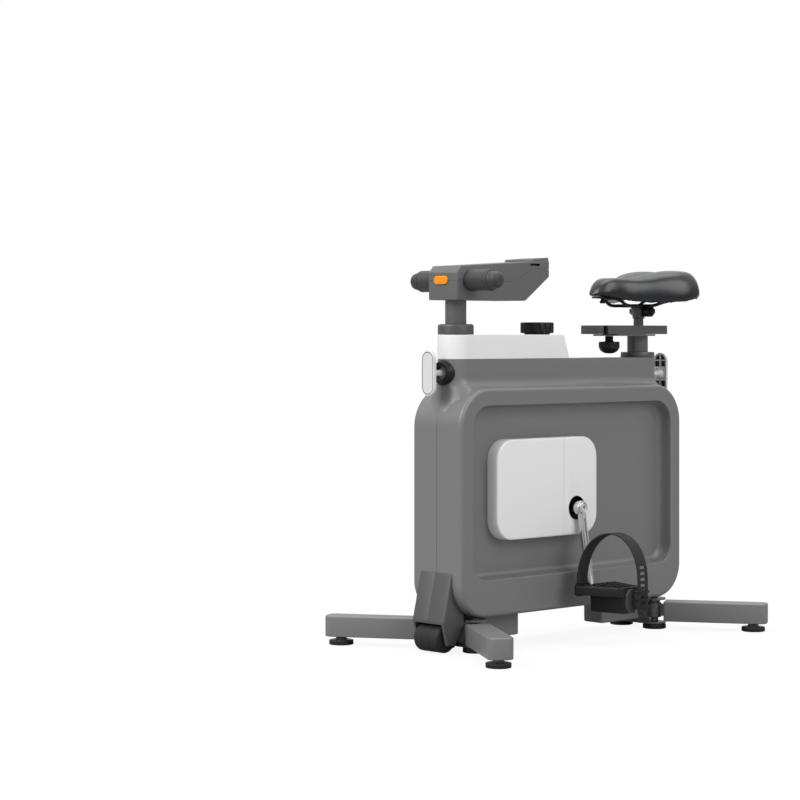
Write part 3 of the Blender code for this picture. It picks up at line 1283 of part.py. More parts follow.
def crank_bolt(name, side):
    low = CRANK_HUB_OUTER + GAP
    high = low + CRANK_BOLT_HEAD
    end = AXLE_HALF_LENGTH - CRANK_BOLT_LENGTH
    profile = [(0, end), (CRANK_BOLT_SHANK, end), (CRANK_BOLT_SHANK, low), (CRANK_BOLT_RADIUS, low)]
    profile += [(CRANK_BOLT_RADIUS, high - 1), (CRANK_BOLT_RADIUS - 1.5, high), (CRANK_BOLT_SOCKET, high)]
    profile += [(CRANK_BOLT_SOCKET, high - 2), (0, high - 2)]
    profile = [(radius, side * y) for radius, y in profile]
    return solid(name, turned("Y", (0, CRANK_Z), profile, 14), "bright_metal", (0, 0, CRANK_Z))


# Pedals
def pedal_plan(side, inner, outer, half_inner, half_outer, corner):
    x = pedal_axle(side)[0]
    corners = [(x - half_inner, inner), (x + half_inner, inner)]
    corners += [(x + half_outer, outer), (x - half_outer, outer)]
    return [(u, side * v) for u, v in rounded(corners, [corner], 2)]


def pedal(name, side):
    """A tapered platform over a block that keeps it level, with the strap's anchor outside."""
    x, z = pedal_axle(side)
    plan = pedal_plan(side, PEDAL_INNER, PEDAL_OUTER, PEDAL_HALF_INNER, PEDAL_HALF_OUTER, PEDAL_CORNER)
    levels = eased(z + PEDAL_BOTTOM, z + PEDAL_TOP, PEDAL_EDGE, PEDAL_EDGE, 1)
    body = solid(name, stack("Z", plan, levels), "black_plastic", (x, 0, z))
    plan = pedal_plan(side, BLOCK_INNER, BLOCK_OUTER, BLOCK_HALF_INNER, BLOCK_HALF_OUTER, BLOCK_CORNER)
    fuse(body, "block", stack("Z", plan, eased(z + BLOCK_BOTTOM, z + PEDAL_TOP / 2, PEDAL_EDGE, 0, 1)))
    for end in (-1, 1):
        cut(body, f"pocket_{end}", pedal_pocket(side, end, x, z))
    fuse(body, "cap", pedal_cap(side, x, z))
    near, far = sorted((side * PEDAL_INNER, side * (PEDAL_INNER + LUG_LENGTH)))
    low = x - PEDAL_HALF_INNER + LUG_MARGIN
    lug_foot = z + PEDAL_BOTTOM - LUG_HEIGHT
    fuse(body, "lug", block(low, low + LUG_LENGTH, near, far, lug_foot, z + PEDAL_TOP / 2))
    fuse(body, "anchor", strap_anchor(side, x, z))
    for index in range(TREADS):
        fuse(body, f"tread_{index}", tread_bar(side, x, z, index))
    near, far = sorted((side * (PEDAL_INNER - 5), side * (SPINDLE_END + GAP)))
    cut(body, "bore", rod("Y", (x, z), SPINDLE_RADIUS + GAP, near, far, 14))
    near, far = sorted((side * (PEDAL_INNER - 5), side * (CRANK_EYE_OUTER + GAP + SPINDLE_FLANGE + GAP)))
    cut(body, "flange", rod("Y", (x, z), SPINDLE_FLANGE_RADIUS + GAP, near, far, 14))
    cut(body, "strap_root", strap_slot(side, x, z))
    return body


def half_width_at(y, inner, outer, half_inner, half_outer):
    """Half the width of a tapered plan at a distance from the bike's middle."""
    return half_inner + (half_outer - half_inner) * (y - inner) / (outer - inner)


def pedal_pocket(side, end, x, z):
    """The hollow under the platform beside the block, which keeps the pedal's weight low."""
    inner = BLOCK_INNER if end < 0 else PEDAL_INNER + PEDAL_RIM
    outer = SPINDLE_END
    platform = (PEDAL_INNER, PEDAL_OUTER, PEDAL_HALF_INNER, PEDAL_HALF_OUTER)
    block_plan = (BLOCK_INNER, BLOCK_OUTER, BLOCK_HALF_INNER, BLOCK_HALF_OUTER)
    start = max(inner, BLOCK_INNER)
    corners = [(half_width_at(y, *platform) - PEDAL_RIM, y) for y in (inner, outer)]
    corners += [(half_width_at(outer, *block_plan) + PEDAL_RIM / 2, outer)]
    corners += [(half_width_at(start, *block_plan) + PEDAL_RIM / 2, start)]
    if end > 0:
        corners += [(SPINDLE_BOSS, start), (SPINDLE_BOSS, inner)]
    points = [(x + end * u, side * v) for u, v in corners]
    return prism("Z", points, z + PEDAL_BOTTOM - 5, z + PEDAL_TOP - PEDAL_SKIN)


def pedal_cap(side, x, z):
    """The upright oval at the pedal's outer end."""
    straight = (CAP_HIGH - CAP_LOW) / 2 - CAP_HALF_WIDTH
    middle = z + (CAP_HIGH + CAP_LOW) / 2
    centres = [(middle - straight, 0), (middle + straight, 0)]
    outline = [(x + v, u) for u, v in stadium(*centres, CAP_HALF_WIDTH, 6)]
    levels = [(side * y, amount) for y, amount in eased(CAP_OUTER - CAP_DEPTH, CAP_OUTER, 0, 1.5, 1)]
    return stack("Y", outline, levels)


def strap_anchor(side, x, z):
    """The arm outside the pedal that the strap's ladder hooks on."""
    near, far = sorted((side * (BLOCK_OUTER - PEDAL_RIM), side * (STRAP_OUTER_Y - STRAP_THICKNESS / 2 - GAP)))
    middle = x + STRAP_OUTER_X
    half = ANCHOR_HALF_WIDTH
    return block(middle - half, middle + half, near, far, z + ANCHOR_LOW, z + ANCHOR_HIGH)


def tread_bar(side, x, z, index):
    """A raised bar across the platform."""
    y = PEDAL_INNER + TREAD_FIRST + index * TREAD_PITCH
    half = half_width_at(y, PEDAL_INNER, PEDAL_OUTER, PEDAL_HALF_INNER, PEDAL_HALF_OUTER) - TREAD_MARGIN
    near, far = sorted((side * y, side * (y + TREAD_WIDTH)))
    return block(x - half, x + half, near, far, z + PEDAL_TOP - 2, z + PEDAL_TOP + TREAD_HEIGHT)


def strap_slot(side, x, z):
    """The slot in the platform's inner end that takes the strap's root."""
    half = STRAP_WIDTH / 2 + GAP
    reach = STRAP_THICKNESS / 2 + GAP
    near, far = sorted((side * (STRAP_INNER_Y - reach), side * (STRAP_INNER_Y + reach)))
    middle = x + STRAP_INNER_X
    return block(middle - half, middle + half, near, far, z + PEDAL_TOP - STRAP_ROOT - GAP, z + PEDAL_TOP + 6)


def strap_line(side, x, z):
    """Centre points of the strap, from its root over the foot and down to its loose end."""
    half_span = (STRAP_OUTER_Y - STRAP_INNER_Y) / 2
    middle = (STRAP_OUTER_Y + STRAP_INNER_Y) / 2
    base = z + PEDAL_TOP
    root_x = x + STRAP_INNER_X
    points = [(root_x, STRAP_INNER_Y, base - STRAP_ROOT), (root_x, STRAP_INNER_Y, base + 2)]
    steps = 16
    for index in range(1, steps):
        angle = math.pi * index / steps
        share = (1 - math.cos(angle)) / 2
        y = middle - half_span * math.cos(angle)
        height = STRAP_RISE * math.sin(angle) ** 0.85
        here_x = root_x + (STRAP_OUTER_X - STRAP_INNER_X) * share
        points.append((here_x, y, base + STRAP_NECK + height))
    points.append((x + STRAP_OUTER_X, STRAP_OUTER_Y, base + STRAP_NECK))
    points.append((x + STRAP_OUTER_X, STRAP_OUTER_Y, z - STRAP_TAIL))
    return [Vector((u, side * v, w)) for u, v, w in points]


def strap(name, side):
    """A flat band with ladder slots in its outer leg."""
    x, z = pedal_axle(side)
    line = strap_line(side, x, z)
    rings = []
    across = Vector((STRAP_WIDTH / 2, 0, 0))
    for index, point in enumerate(line):
        run = line[min(index + 1, len(line) - 1)] - line[max(index - 1, 0)]
        run.x = 0
        normal = Vector((0, -run.z, run.y)).normalized() * STRAP_THICKNESS / 2
        corners = [-across - normal, across - normal, across + normal, -across + normal]
        rings.append([tuple(point + corner) for corner in corners])
    band = solid(name, loft(rings), "rubber", (x, 0, z))
    reach = STRAP_OUTER_Y + STRAP_THICKNESS
    for index in range(STRAP_SLOTS):
        high = z + PEDAL_TOP + STRAP_FIRST_SLOT - index * STRAP_SLOT_PITCH
        low = high - STRAP_SLOT_HEIGHT
        near, far = sorted((side * (STRAP_OUTER_Y - STRAP_THICKNESS), side * reach))
        half = STRAP_SLOT_WIDTH / 2
        middle = x + STRAP_OUTER_X
        cut(band, f"slot_{index}", block(middle - half, middle + half, near, far, low, high))
    return band


def spindle(name, side):
    x, z = pedal_axle(side)
    flange = CRANK_EYE_OUTER + GAP
    profile = [(0, CRANK_EYE_INNER + 0.5), (SPINDLE_RADIUS, CRANK_EYE_INNER + 0.5), (SPINDLE_RADIUS, flange)]
    profile += [(SPINDLE_FLANGE_RADIUS, flange), (SPINDLE_FLANGE_RADIUS, flange + SPINDLE_FLANGE)]
    profile += [(SPINDLE_RADIUS, flange + SPINDLE_FLANGE), (SPINDLE_RADIUS, SPINDLE_END), (0, SPINDLE_END)]
    profile = [(radius, side * y) for radius, y in profile]
    return solid(name, turned("Y", (x, z), profile, 14), "steel", (x, 0, z))


# Legs and feet
def leg_matrix(end, side):
    """From a leg's own frame, lying along +X from its pivot, to its place on the bike."""
    heading = math.atan2(side * math.cos(LEG_ANGLE), end * math.sin(LEG_ANGLE))
    return Matrix.Translation((end * PIVOT_X, side * PIVOT_Y, 0)) @ Matrix.Rotation(heading, 4, "Z")


def leg_plan():
    half = LEG_WIDTH / 2
    corners = rectangle(LEG_START, LEG_END, -half, half)
    return rounded(corners, [0, LEG_CORNER, LEG_CORNER, 0], 3)


def swing_leg(name, end, side):
    """A box tube with a barrel at its root, which turns on the pivot stud."""
    place = leg_matrix(end, side)
    pivot = (end * PIVOT_X, side * PIVOT_Y, 0)
    tube = moved(stack("Z", leg_plan(), eased(LEG_BOTTOM, LEG_TOP, LEG_EDGE, LEG_EDGE, 1)), place)
    leg = solid(name, tube, "leg_grey", pivot)
    half = LEG_NECK_WIDTH / 2
    neck = block(0, LEG_START + LEG_WALL / 2, -half, half, BARREL_LOW + LEG_WALL, BARREL_HIGH - LEG_WALL)
    fuse(leg, "neck", moved(neck, place))
    top = UPPER_FLANGE_LOW - GAP
    low = FLANGE_LOW + FLANGE_THICKNESS + GAP
    profile = [(0, low), (BARREL_HUB_LOW_RADIUS, low)]
    profile += [(BARREL_HUB_LOW_RADIUS, BARREL_LOW), (BARREL_RADIUS, BARREL_LOW), (BARREL_RADIUS, BARREL_HIGH)]
    profile += [(BARREL_HUB_HIGH_RADIUS, BARREL_HIGH), (BARREL_HUB_HIGH_RADIUS, top), (0, top)]
    fuse(leg, "barrel", moved(turned("Z", (0, 0), profile, 16), place))
    hollow = prism("Z", inset(leg_plan(), LEG_WALL), LEG_BOTTOM + LEG_WALL, LEG_TOP - LEG_WALL)
    cut(leg, "hollow", moved(hollow, place))
    cut(leg, "pin_hole", moved(rod("Z", (0, 0), PIVOT_PIN_RADIUS + GAP, 0, 90), place))
    stud = rod("Z", (LEG_REACH, 0), FOOT_STUD_RADIUS + GAP, LEG_BOTTOM - 5, LEG_BOTTOM + LEG_WALL + 2, 10)
    return cut(leg, "stud_hole", moved(stud, place))


def foot_profile():
    """The rubber disc that all feet share."""
    profile = [(0, 0), (FOOT_RADIUS - FOOT_EDGE, 0), (FOOT_RADIUS, FOOT_EDGE)]
    return profile + [(FOOT_RADIUS, FOOT_HEIGHT - FOOT_EDGE), (FOOT_RADIUS - FOOT_EDGE, FOOT_HEIGHT)]


def leg_foot(name, end, side):
    place = leg_matrix(end, side)
    centre = place @ Vector((LEG_REACH, 0, 0))
    profile = foot_profile() + [(FOOT_STEM_RADIUS, FOOT_HEIGHT), (FOOT_STEM_RADIUS, LEG_BOTTOM - GAP)]
    stud = LEG_BOTTOM + FOOT_STUD_LENGTH
    profile += [(FOOT_STUD_RADIUS, LEG_BOTTOM - GAP), (FOOT_STUD_RADIUS, stud), (0, stud)]
    return solid(name, turned("Z", centre.xy, profile, 18), "rubber", (centre.x, centre.y, 0))


def pivot_foot(name, end, side):
    """A foot whose stud is the leg's pivot pin, headed over the upper flange."""
    top = UPPER_FLANGE_LOW + FLANGE_THICKNESS + GAP
    profile = foot_profile() + [(FOOT_STEM_RADIUS, FOOT_HEIGHT), (FOOT_STEM_RADIUS, FLANGE_LOW - GAP)]
    profile += [(PIVOT_PIN_RADIUS, FLANGE_LOW - GAP), (PIVOT_PIN_RADIUS, top), (PIVOT_HEAD_RADIUS, top)]
    profile += [(PIVOT_HEAD_RADIUS, BODY_BOTTOM - GAP), (0, BODY_BOTTOM - GAP)]
    centre = (end * PIVOT_X, side * PIVOT_Y)
    return solid(name, turned("Z", centre, profile, 18), "rubber")


def pivot_bracket(name, end):
    """Two flanges on a web, which hold the pivot studs of both legs at one end of the body."""
    x = end * PIVOT_X
    length, width = WEB_HALF_LENGTH, WEB_HALF_WIDTH
    web = block(x - length, x + length, -width, width, FLANGE_LOW, BODY_BOTTOM - GAP)
    bracket = solid(name, web, "black_metal")
    plan = [(x + v, u) for u, v in stadium((-PIVOT_Y, 0), (PIVOT_Y, 0), FLANGE_RADIUS, 7)]
    for label, low in (("lower", FLANGE_LOW), ("upper", UPPER_FLANGE_LOW)):
        shift = 0.2 if low == FLANGE_LOW else 0
        fuse(bracket, label, prism("Z", plan, low - shift, low + FLANGE_THICKNESS))
    for side in (-1, 1):
        cut(bracket, f"pin_{side}", rod("Z", (x, side * PIVOT_Y), PIVOT_PIN_RADIUS + GAP, 0, 90))
    return bracket


# Transport roller
def housing_outline():
    """The wedge in front of the slab, which follows the slab's lower corner."""
    reach = BODY_HALF_LENGTH + GAP
    centre = (-BODY_HALF_LENGTH + BODY_BOTTOM_CORNER, BODY_BOTTOM + BODY_BOTTOM_CORNER)
    end = -BODY_HALF_LENGTH
    middle = end - (HOUSING_TIP_OUT - HOUSING_HEEL_IN) / 2
    points = [(-reach - HOUSING_TOP_THICKNESS, HOUSING_TOP), (end - HOUSING_LIP_OUT, HOUSING_LIP_Z)]
    points += [(end - HOUSING_TIP_OUT, HOUSING_TIP_Z), (middle, HOUSING_HEEL_Z + 1)]
    points += [(end + HOUSING_HEEL_IN, HOUSING_HEEL_Z), (end + HOUSING_BACK_IN, HOUSING_BACK_Z)]
    points += arc(centre, BODY_BOTTOM_CORNER + GAP, HOUSING_ARC_END, math.pi, 6)
    return points + [(-reach, HOUSING_TOP)]


def roller_housing(name, side):
    levels = [(side * y, amount) for y, amount in eased(GAP / 2, HOUSING_HALF_WIDTH, 0, HOUSING_EDGE, 1)]
    levels = [(y, min(amount, HOUSING_TOP_THICKNESS / 3)) for y, amount in levels]
    housing = solid(name, stack("Y", housing_outline(), levels), "body_grey")
    near, far = sorted((-side * 5, side * HOUSING_OPENING))
    room = ROLLER_RADIUS + ROLLER_CLEARANCE
    lip = -BODY_HALF_LENGTH - HOUSING_LIP_OUT
    mouth = [(lip - 12, -5), (lip - 12, ROLLER_Z + room), (ROLLER_X, ROLLER_Z + room)]
    mouth += arc((ROLLER_X, ROLLER_Z), room, math.pi / 2 - 0.2, 0, 6) + [(ROLLER_X + room, -5)]
    cut(housing, "mouth", prism("Y", mouth, near, far))
    low = ROLLER_Z + room + HOUSING_WALL
    lean = HOUSING_LIP_OUT / (HOUSING_TOP - HOUSING_LIP_Z)
    front = lip + (low - HOUSING_LIP_Z) * lean + HOUSING_WALL
    high = HOUSING_TOP - HOUSING_HEAD
    rear = BODY_BOTTOM_CORNER - BODY_HALF_LENGTH
    hollow = [(front, low), (rear, low), (rear, high), (front + (high - low) * lean, high)]
    cut(housing, "hollow", prism("Y", hollow, near, far))
    near, far = sorted((-side * 5, side * (HOUSING_HALF_WIDTH - HOUSING_END_WALL)))
    return cut(housing, "axle_hole", rod("Y", (ROLLER_X, ROLLER_Z), ROLLER_AXLE_RADIUS + GAP, near, far))


def roller():
    edge = ROLLER_RADIUS - ROLLER_EDGE
    bore = ROLLER_AXLE_RADIUS + GAP
    half = ROLLER_HALF_LENGTH
    profile = [(bore, -half), (edge, -half), (ROLLER_RADIUS, -half + ROLLER_EDGE)]
    profile += [(ROLLER_RADIUS, half - ROLLER_EDGE)]
    profile += [(edge, half), (bore, half)]
    origin = (ROLLER_X, 0, ROLLER_Z)
    solid("transport_roller", turned("Y", (ROLLER_X, ROLLER_Z), profile, 22), "rubber", origin)
    reach = HOUSING_HALF_WIDTH - HOUSING_END_WALL - GAP
    solid("roller_axle", rod("Y", (ROLLER_X, ROLLER_Z), ROLLER_AXLE_RADIUS, -reach, reach), "steel")


# Seat
def seat_post():
    """The sliding post, the plate welded on it and the T rail of the seat slide."""
    centre = (REAR_POST_X, 0)
    origin = (REAR_POST_X, 0, REAR_PIN_Z)
    low = REAR_PIN_Z - POST_TRAVEL - POST_TAIL
    tube = rod("Z", centre, REAR_POST_RADIUS, low, SLIDE_BOTTOM + SLIDE_PLATE / 2, 20)
    post = solid("seat_post", tube, "black_metal", origin)
    half = SLIDE_HALF_WIDTH
    top = SLIDE_BOTTOM + SLIDE_PLATE
    plan = rounded(rectangle(SLIDE_PLATE_FRONT, SLIDE_PLATE_REAR, -half, half), [3], 2)
    fuse(post, "plate", prism("Z", plan, SLIDE_BOTTOM, top))
    neck = top + RAIL_NECK_HEIGHT
    front, rear = SLIDE_PLATE_FRONT + RAIL_END_MARGIN, SLIDE_PLATE_REAR - RAIL_END_MARGIN
    fuse(post, "rail_neck", block(front, rear, -RAIL_NECK, RAIL_NECK, top - 1, neck + 0.5))
    fuse(post, "rail_head", block(front, rear, -RAIL_HEAD, RAIL_HEAD, neck, neck + RAIL_HEAD_HEIGHT))
    bore = REAR_POST_RADIUS - POST_WALL
    cut(post, "bore", rod("Z", centre, bore, low - 5, SLIDE_BOTTOM - POST_WALL, 16))
    stud = rod("Z", (KNOB_X, 0), KNOB_STUD_RADIUS + GAP, SLIDE_BOTTOM - 5, neck + RAIL_HEAD_HEIGHT + 5)
    cut(post, "stud_hole", stud)
    return keyed_post(post, REAR_POST_X, 1, REAR_POST_RADIUS, REAR_PIN_Z)


def slider_block():
    """The block that slides on the T rail and carries the saddle clamp."""
    half = SLIDE_HALF_WIDTH
    low = SLIDER_LOW
    step = SLIDER_FRONT + SLIDER_NOSE_LENGTH
    nose = SLIDER_NOSE_HALF_WIDTH
    corners = [(SLIDER_FRONT, -nose), (step, -nose)] + rectangle(step, SLIDER_REAR, -half, half)
    corners += [(step, nose), (SLIDER_FRONT, nose)]
    radii = [SLIDER_NOSE_CORNER, 0] + [SLIDER_CORNER] * 4 + [0, SLIDER_NOSE_CORNER]
    plan = rounded(corners, radii, 3)
    levels = eased(low, SLIDER_TOP, SLIDER_EDGE / 2, SLIDER_EDGE, 1)
    slider = solid("slider_block", stack("Z", plan, levels), "dark_plastic", (CLAMP_X, 0, low))
    front = SLIDE_PLATE_FRONT + RAIL_END_MARGIN - SLIDE_TRAVEL - SLIDE_STOP_MARGIN
    neck = RAIL_NECK + GAP
    head = RAIL_HEAD + GAP
    rail = SLIDE_BOTTOM + SLIDE_PLATE + RAIL_NECK_HEIGHT
    cut(slider, "neck_slot", block(front, SLIDER_REAR + 5, -neck, neck, low - 5, rail + 1))
    slot_top = rail + RAIL_HEAD_HEIGHT + GAP
    cut(slider, "head_slot", block(front, SLIDER_REAR + 5, -head, head, rail - GAP, slot_top))
    hole = rod("Z", (CLAMP_X, 0), CLAMP_PIN_RADIUS + GAP, SLIDER_TOP - CLAMP_PIN_DEPTH, SLIDER_TOP + 5, 16)
    return cut(slider, "pin_hole", hole)


def slider_knob():
    top = SLIDE_BOTTOM - GAP
    rail_top = SLIDE_BOTTOM + SLIDE_PLATE + RAIL_NECK_HEIGHT + RAIL_HEAD_HEIGHT - 1
    profile = [(0, KNOB_RIM - KNOB_DOME), (KNOB_RADIUS * 0.5, KNOB_RIM - KNOB_DOME * 0.85)]
    profile += [(KNOB_RADIUS * 0.85, KNOB_RIM - KNOB_DOME * 0.45), (KNOB_RADIUS, KNOB_RIM)]
    profile += [(KNOB_RADIUS, KNOB_TOP - 1)]
    profile += [(KNOB_RADIUS - 1, KNOB_TOP), (KNOB_STEM_RADIUS, KNOB_TOP), (KNOB_STEM_RADIUS, top)]
    profile += [(KNOB_STUD_RADIUS, top), (KNOB_STUD_RADIUS, rail_top), (0, rail_top)]
    return solid("slider_knob", turned("Z", (KNOB_X, 0), profile, 18), "black_plastic", (KNOB_X, 0, KNOB_TOP))


def saddle_clamp():
    """The clamp: a pin in the slider, a body and a cross bolt with a pair of discs for each rail."""
    low = SLIDER_TOP - CLAMP_PIN_DEPTH + GAP
    profile = [(0, low), (CLAMP_PIN_RADIUS, low), (CLAMP_PIN_RADIUS, CLAMP_BODY_LOW)]
    profile += [(CLAMP_BODY_RADIUS, CLAMP_BODY_LOW), (CLAMP_BODY_RADIUS, CLAMP_BODY_HIGH)]
    profile += [(0, CLAMP_BODY_HIGH)]
    body = turned("Z", (CLAMP_X, 0), profile, 16)
    clamp = solid("saddle_clamp", body, "black_metal", (CLAMP_X, 0, CLAMP_AXIS_Z))
    axis = (CLAMP_X, CLAMP_AXIS_Z)
    fuse(clamp, "bolt", rod("Y", axis, CLAMP_BOLT_RADIUS, -CLAMP_BOLT_END, CLAMP_BOLT_END, 10))
    inner, outer = WIRE_Y - WIRE_RADIUS - GAP, WIRE_Y + WIRE_RADIUS + GAP
    for side in (-1, 1):
        near, far = sorted((side * (CLAMP_BODY_RADIUS - 2), side * inner))
        fuse(clamp, f"inner_disc_{side}", rod("Y", axis, CLAMP_DISC_RADIUS, near, far, 14))
        disc_end = outer + CLAMP_DISC_WIDTH
        near, far = sorted((side * outer, side * disc_end))
        fuse(clamp, f"outer_disc_{side}", rod("Y", axis, CLAMP_DISC_RADIUS, near, far, 14))
        near, far = sorted((side * (disc_end - 1), side * (disc_end + CLAMP_NUT_WIDTH)))
        fuse(clamp, f"nut_{side}", rod("Y", axis, CLAMP_NUT_RADIUS, near, far, 6))
    return clamp


def wire_line():
    """The rail wire from one rear end over the bow under the nose to the other."""
    seat = SADDLE_UNDERSIDE - GAP - SADDLE_BASE_THICKNESS - WIRE_RADIUS - GAP
    tail = SADDLE_TAIL - WIRE_TAIL_SETBACK
    bow = CLAMP_X - WIRE_BOW
    front = CLAMP_X - WIRE_AHEAD
    points = [(tail, WIRE_Y + WIRE_SPREAD, seat)]
    points += [(tail - WIRE_RAMP, WIRE_Y + WIRE_SPREAD * 0.55, (seat + WIRE_Z) / 2)]
    points += [(CLAMP_X + WIRE_BEHIND, WIRE_Y, WIRE_Z), (CLAMP_X, WIRE_Y, WIRE_Z)]
    points += [(front, WIRE_Y * 0.85, WIRE_Z)]
    points += [(front + (bow - front) * 0.5, WIRE_Y * 0.62, WIRE_Z + (seat - WIRE_Z) * 0.5)]
    points += [(front + (bow - front) * 0.88, WIRE_Y * 0.4, seat)]
    half = [Vector(point) for point in points]
    return half + [Vector((bow, 0, seat))] + [Vector((x, -y, z)) for x, y, z in half[::-1]]


def wire(radius):
    """A round bar along the rail wire's line."""
    line = wire_line()
    rings = []
    for index, point in enumerate(line):
        run = (line[min(index + 1, len(line) - 1)] - line[max(index - 1, 0)]).normalized()
        side = run.cross(Vector((0, 0, 1))).normalized()
        up = side.cross(run)
        rings.append([tuple(point + side * u + up * v) for u, v in disc((0, 0), radius, 8)])
    return loft(rings)


def saddle_rails():
    """One bent wire with both rails and the bow under the nose."""
    return solid("saddle_rails", wire(WIRE_RADIUS), "black_metal", (CLAMP_X, 0, CLAMP_AXIS_Z))


def blend(value, low, high):
    share = max(0.0, min(1.0, (value - low) / (high - low)))
    return share * share * (3 - 2 * share)


def saddle_half_width(x):
    """Half the saddle's width: a narrow nose, a waist and two broad lobes."""
    length = SADDLE_WIDE_X - SADDLE_NOSE
    share = max(0.0, min(1.0, (x - SADDLE_NOSE) / length))
    nose = SADDLE_NOSE_WIDTH * math.sqrt(min(1.0, max(0.0, 1 - (1 - min(1.0, share * 5.2)) ** 2)))
    width = nose + (SADDLE_HALF_WIDTH - SADDLE_NOSE_WIDTH) * blend(share, 0.14, 0.98) ** 1.15
    if x > SADDLE_WIDE_X:
        beyond = (x - SADDLE_WIDE_X) / (SADDLE_TAIL - SADDLE_WIDE_X)
        width *= math.sqrt(max(0.0, 1 - min(1.0, beyond) ** 2.3))
    return width


def saddle_plan():
    """The saddle's outline as evenly spaced points, from the nose round the right side."""
    fine = 400
    edge = []
    for index in range(fine + 1):
        x = SADDLE_NOSE + (SADDLE_TAIL - SADDLE_NOSE) * (1 - math.cos(math.pi * index / fine)) / 2
        edge.append(Vector((x, saddle_half_width(x))))
    lengths = [0.0]
    for first, last in zip(edge, edge[1:]):
        lengths.append(lengths[-1] + (last - first).length)
    half = SADDLE_AROUND // 2
    points = []
    place = 0
    for index in range(half + 1):
        wanted = lengths[-1] * index / half
        while place < fine - 1 and lengths[place + 1] < wanted:
            place += 1
        share = (wanted - lengths[place]) / max(lengths[place + 1] - lengths[place], 1e-9)
        points.append(edge[place].lerp(edge[place + 1], share))
    return points + [Vector((point.x, -point.y)) for point in points[-2:0:-1]]


def saddle_rim(x):
    """The height of the saddle's lower edge, which hangs lowest at the sides."""
    share = (x - SADDLE_NOSE) / (SADDLE_TAIL - SADDLE_NOSE)
    drop = SADDLE_RIM_NOSE + (SADDLE_RIM_MIDDLE - SADDLE_RIM_NOSE) * blend(share, 0.0, 0.45)
    drop += (SADDLE_RIM_TAIL - SADDLE_RIM_MIDDLE) * blend(share, 0.62, 1.0)
    return SADDLE_UNDERSIDE - drop


def saddle_crown(x, y):
    """The height of the seat surface before its edge rolls down."""
    share = (x - SADDLE_NOSE) / (SADDLE_TAIL - SADDLE_NOSE)
    crown = SADDLE_TOP_NOSE + (SADDLE_TOP_WAIST - SADDLE_TOP_NOSE) * blend(share, 0.12, 0.3)
    crown += (SADDLE_TOP_LOBE - SADDLE_TOP_WAIST) * blend(share, 0.3, 0.77)
    slope = max(0.0, min(0.96, 1 - (x - SADDLE_NOSE) / SADDLE_NOSE_SLOPE))
    crown = (crown + SADDLE_RIM_NOSE) * math.sqrt(1 - slope * slope) - SADDLE_RIM_NOSE
    depth = SADDLE_CHANNEL_DEPTH * blend(share, 0.16, 0.42)
    return SADDLE_UNDERSIDE + crown - depth * math.exp(-((y / SADDLE_CHANNEL_WIDTH) ** 2))


def saddle_ring(shrink, lift):
    """A ring of the cushion: shrink runs from the outline (0) to the spine (1)."""
    points = []
    for point in saddle_plan():
        spine = Vector((max(SADDLE_NOSE + 30, min(SADDLE_TAIL - 62, point.x)), 0))
        here = point.lerp(spine, shrink)
        rim = saddle_rim(point.x)
        points.append((here.x, here.y, rim + (saddle_crown(here.x, here.y) - rim) * lift))
    return points


def saddle_flat_ring(distance, height):
    return [(u, v, height) for u, v in inset([tuple(point) for point in saddle_plan()], distance)]


def saddle_cushion():
    """A crowned cushion with drawn-in sides, a hollow underside and a channel along its middle."""
    under = SADDLE_BASE_INSET - 2
    rings = [saddle_flat_ring(under, SADDLE_UNDERSIDE)]
    inner = saddle_flat_ring(under - 3, 0)
    rings.append([(u, v, saddle_rim(u) + 3) for u, v, _ in inner])
    rings.append([(u, v, saddle_rim(u)) for u, v, _ in saddle_flat_ring(5, 0)])
    for step in range(8):
        angle = math.pi / 2 * step / 7
        rings.append(saddle_ring(0.34 * (1 - math.cos(angle)), 0.1 + 0.86 * math.sin(angle)))
    rings.append(saddle_ring(0.5, 0.985))
    rings.append(saddle_ring(0.7, 1.0))
    rings.append(saddle_ring(0.9, 1.0))
    return solid("saddle_cushion", loft(rings), "leatherette", (CLAMP_X, 0, CLAMP_AXIS_Z))


def saddle_base():
    """The plastic pan under the cushion, with the sockets that hold the rail wire."""
    top = SADDLE_UNDERSIDE - GAP
    low = top - SADDLE_BASE_THICKNESS
    plan = inset([tuple(point) for point in saddle_plan()], SADDLE_BASE_INSET + GAP)
    base = solid("saddle_base", prism("Z", plan, low, top), "black_plastic", (CLAMP_X, 0, CLAMP_AXIS_Z))
    bow = min(wire_line(), key=lambda point: point.x)
    front = bow.x - SADDLE_SOCKET_LENGTH / 2
    half = SADDLE_SOCKET_WIDTH / 2
    socket = rounded(rectangle(front, front + SADDLE_SOCKET_LENGTH, -half, half), [4], 2)
    fuse(base, "nose_socket", prism("Z", socket, bow.z - SADDLE_SOCKET_DEPTH, low + 1))
    return cut(base, "bow", wire(WIRE_RADIUS + GAP))


# Assembly
def clear_scene():
    for obj in list(bpy.data.objects):
        bpy.data.objects.remove(obj)


def build_body():
    for name, side in (("left", -1), ("right", 1)):
        body_shell(name + "_shell", side)
        crank_cover(name + "_crank_cover", side)
        roller_housing("roller_housing_" + name, side)
    top_cover()
    post_collar()
    seat_collar()
    main_frame()
    front_pin_boss()
    roller()


def build_drive():
    bottom_bracket()
    crank_axle()
    crank_pulley()
    flywheel()
    flywheel_axle()
    drive_belt()
    brake_bracket()
    dial()
    for name, side in (("left", -1), ("right", 1)):
        crank(name + "_crank", side)
        crank_bolt(name + "_crank_bolt", side)
        pedal(name + "_pedal", side)
        spindle(name + "_pedal_spindle", side)
        strap(name + "_pedal_strap", side)


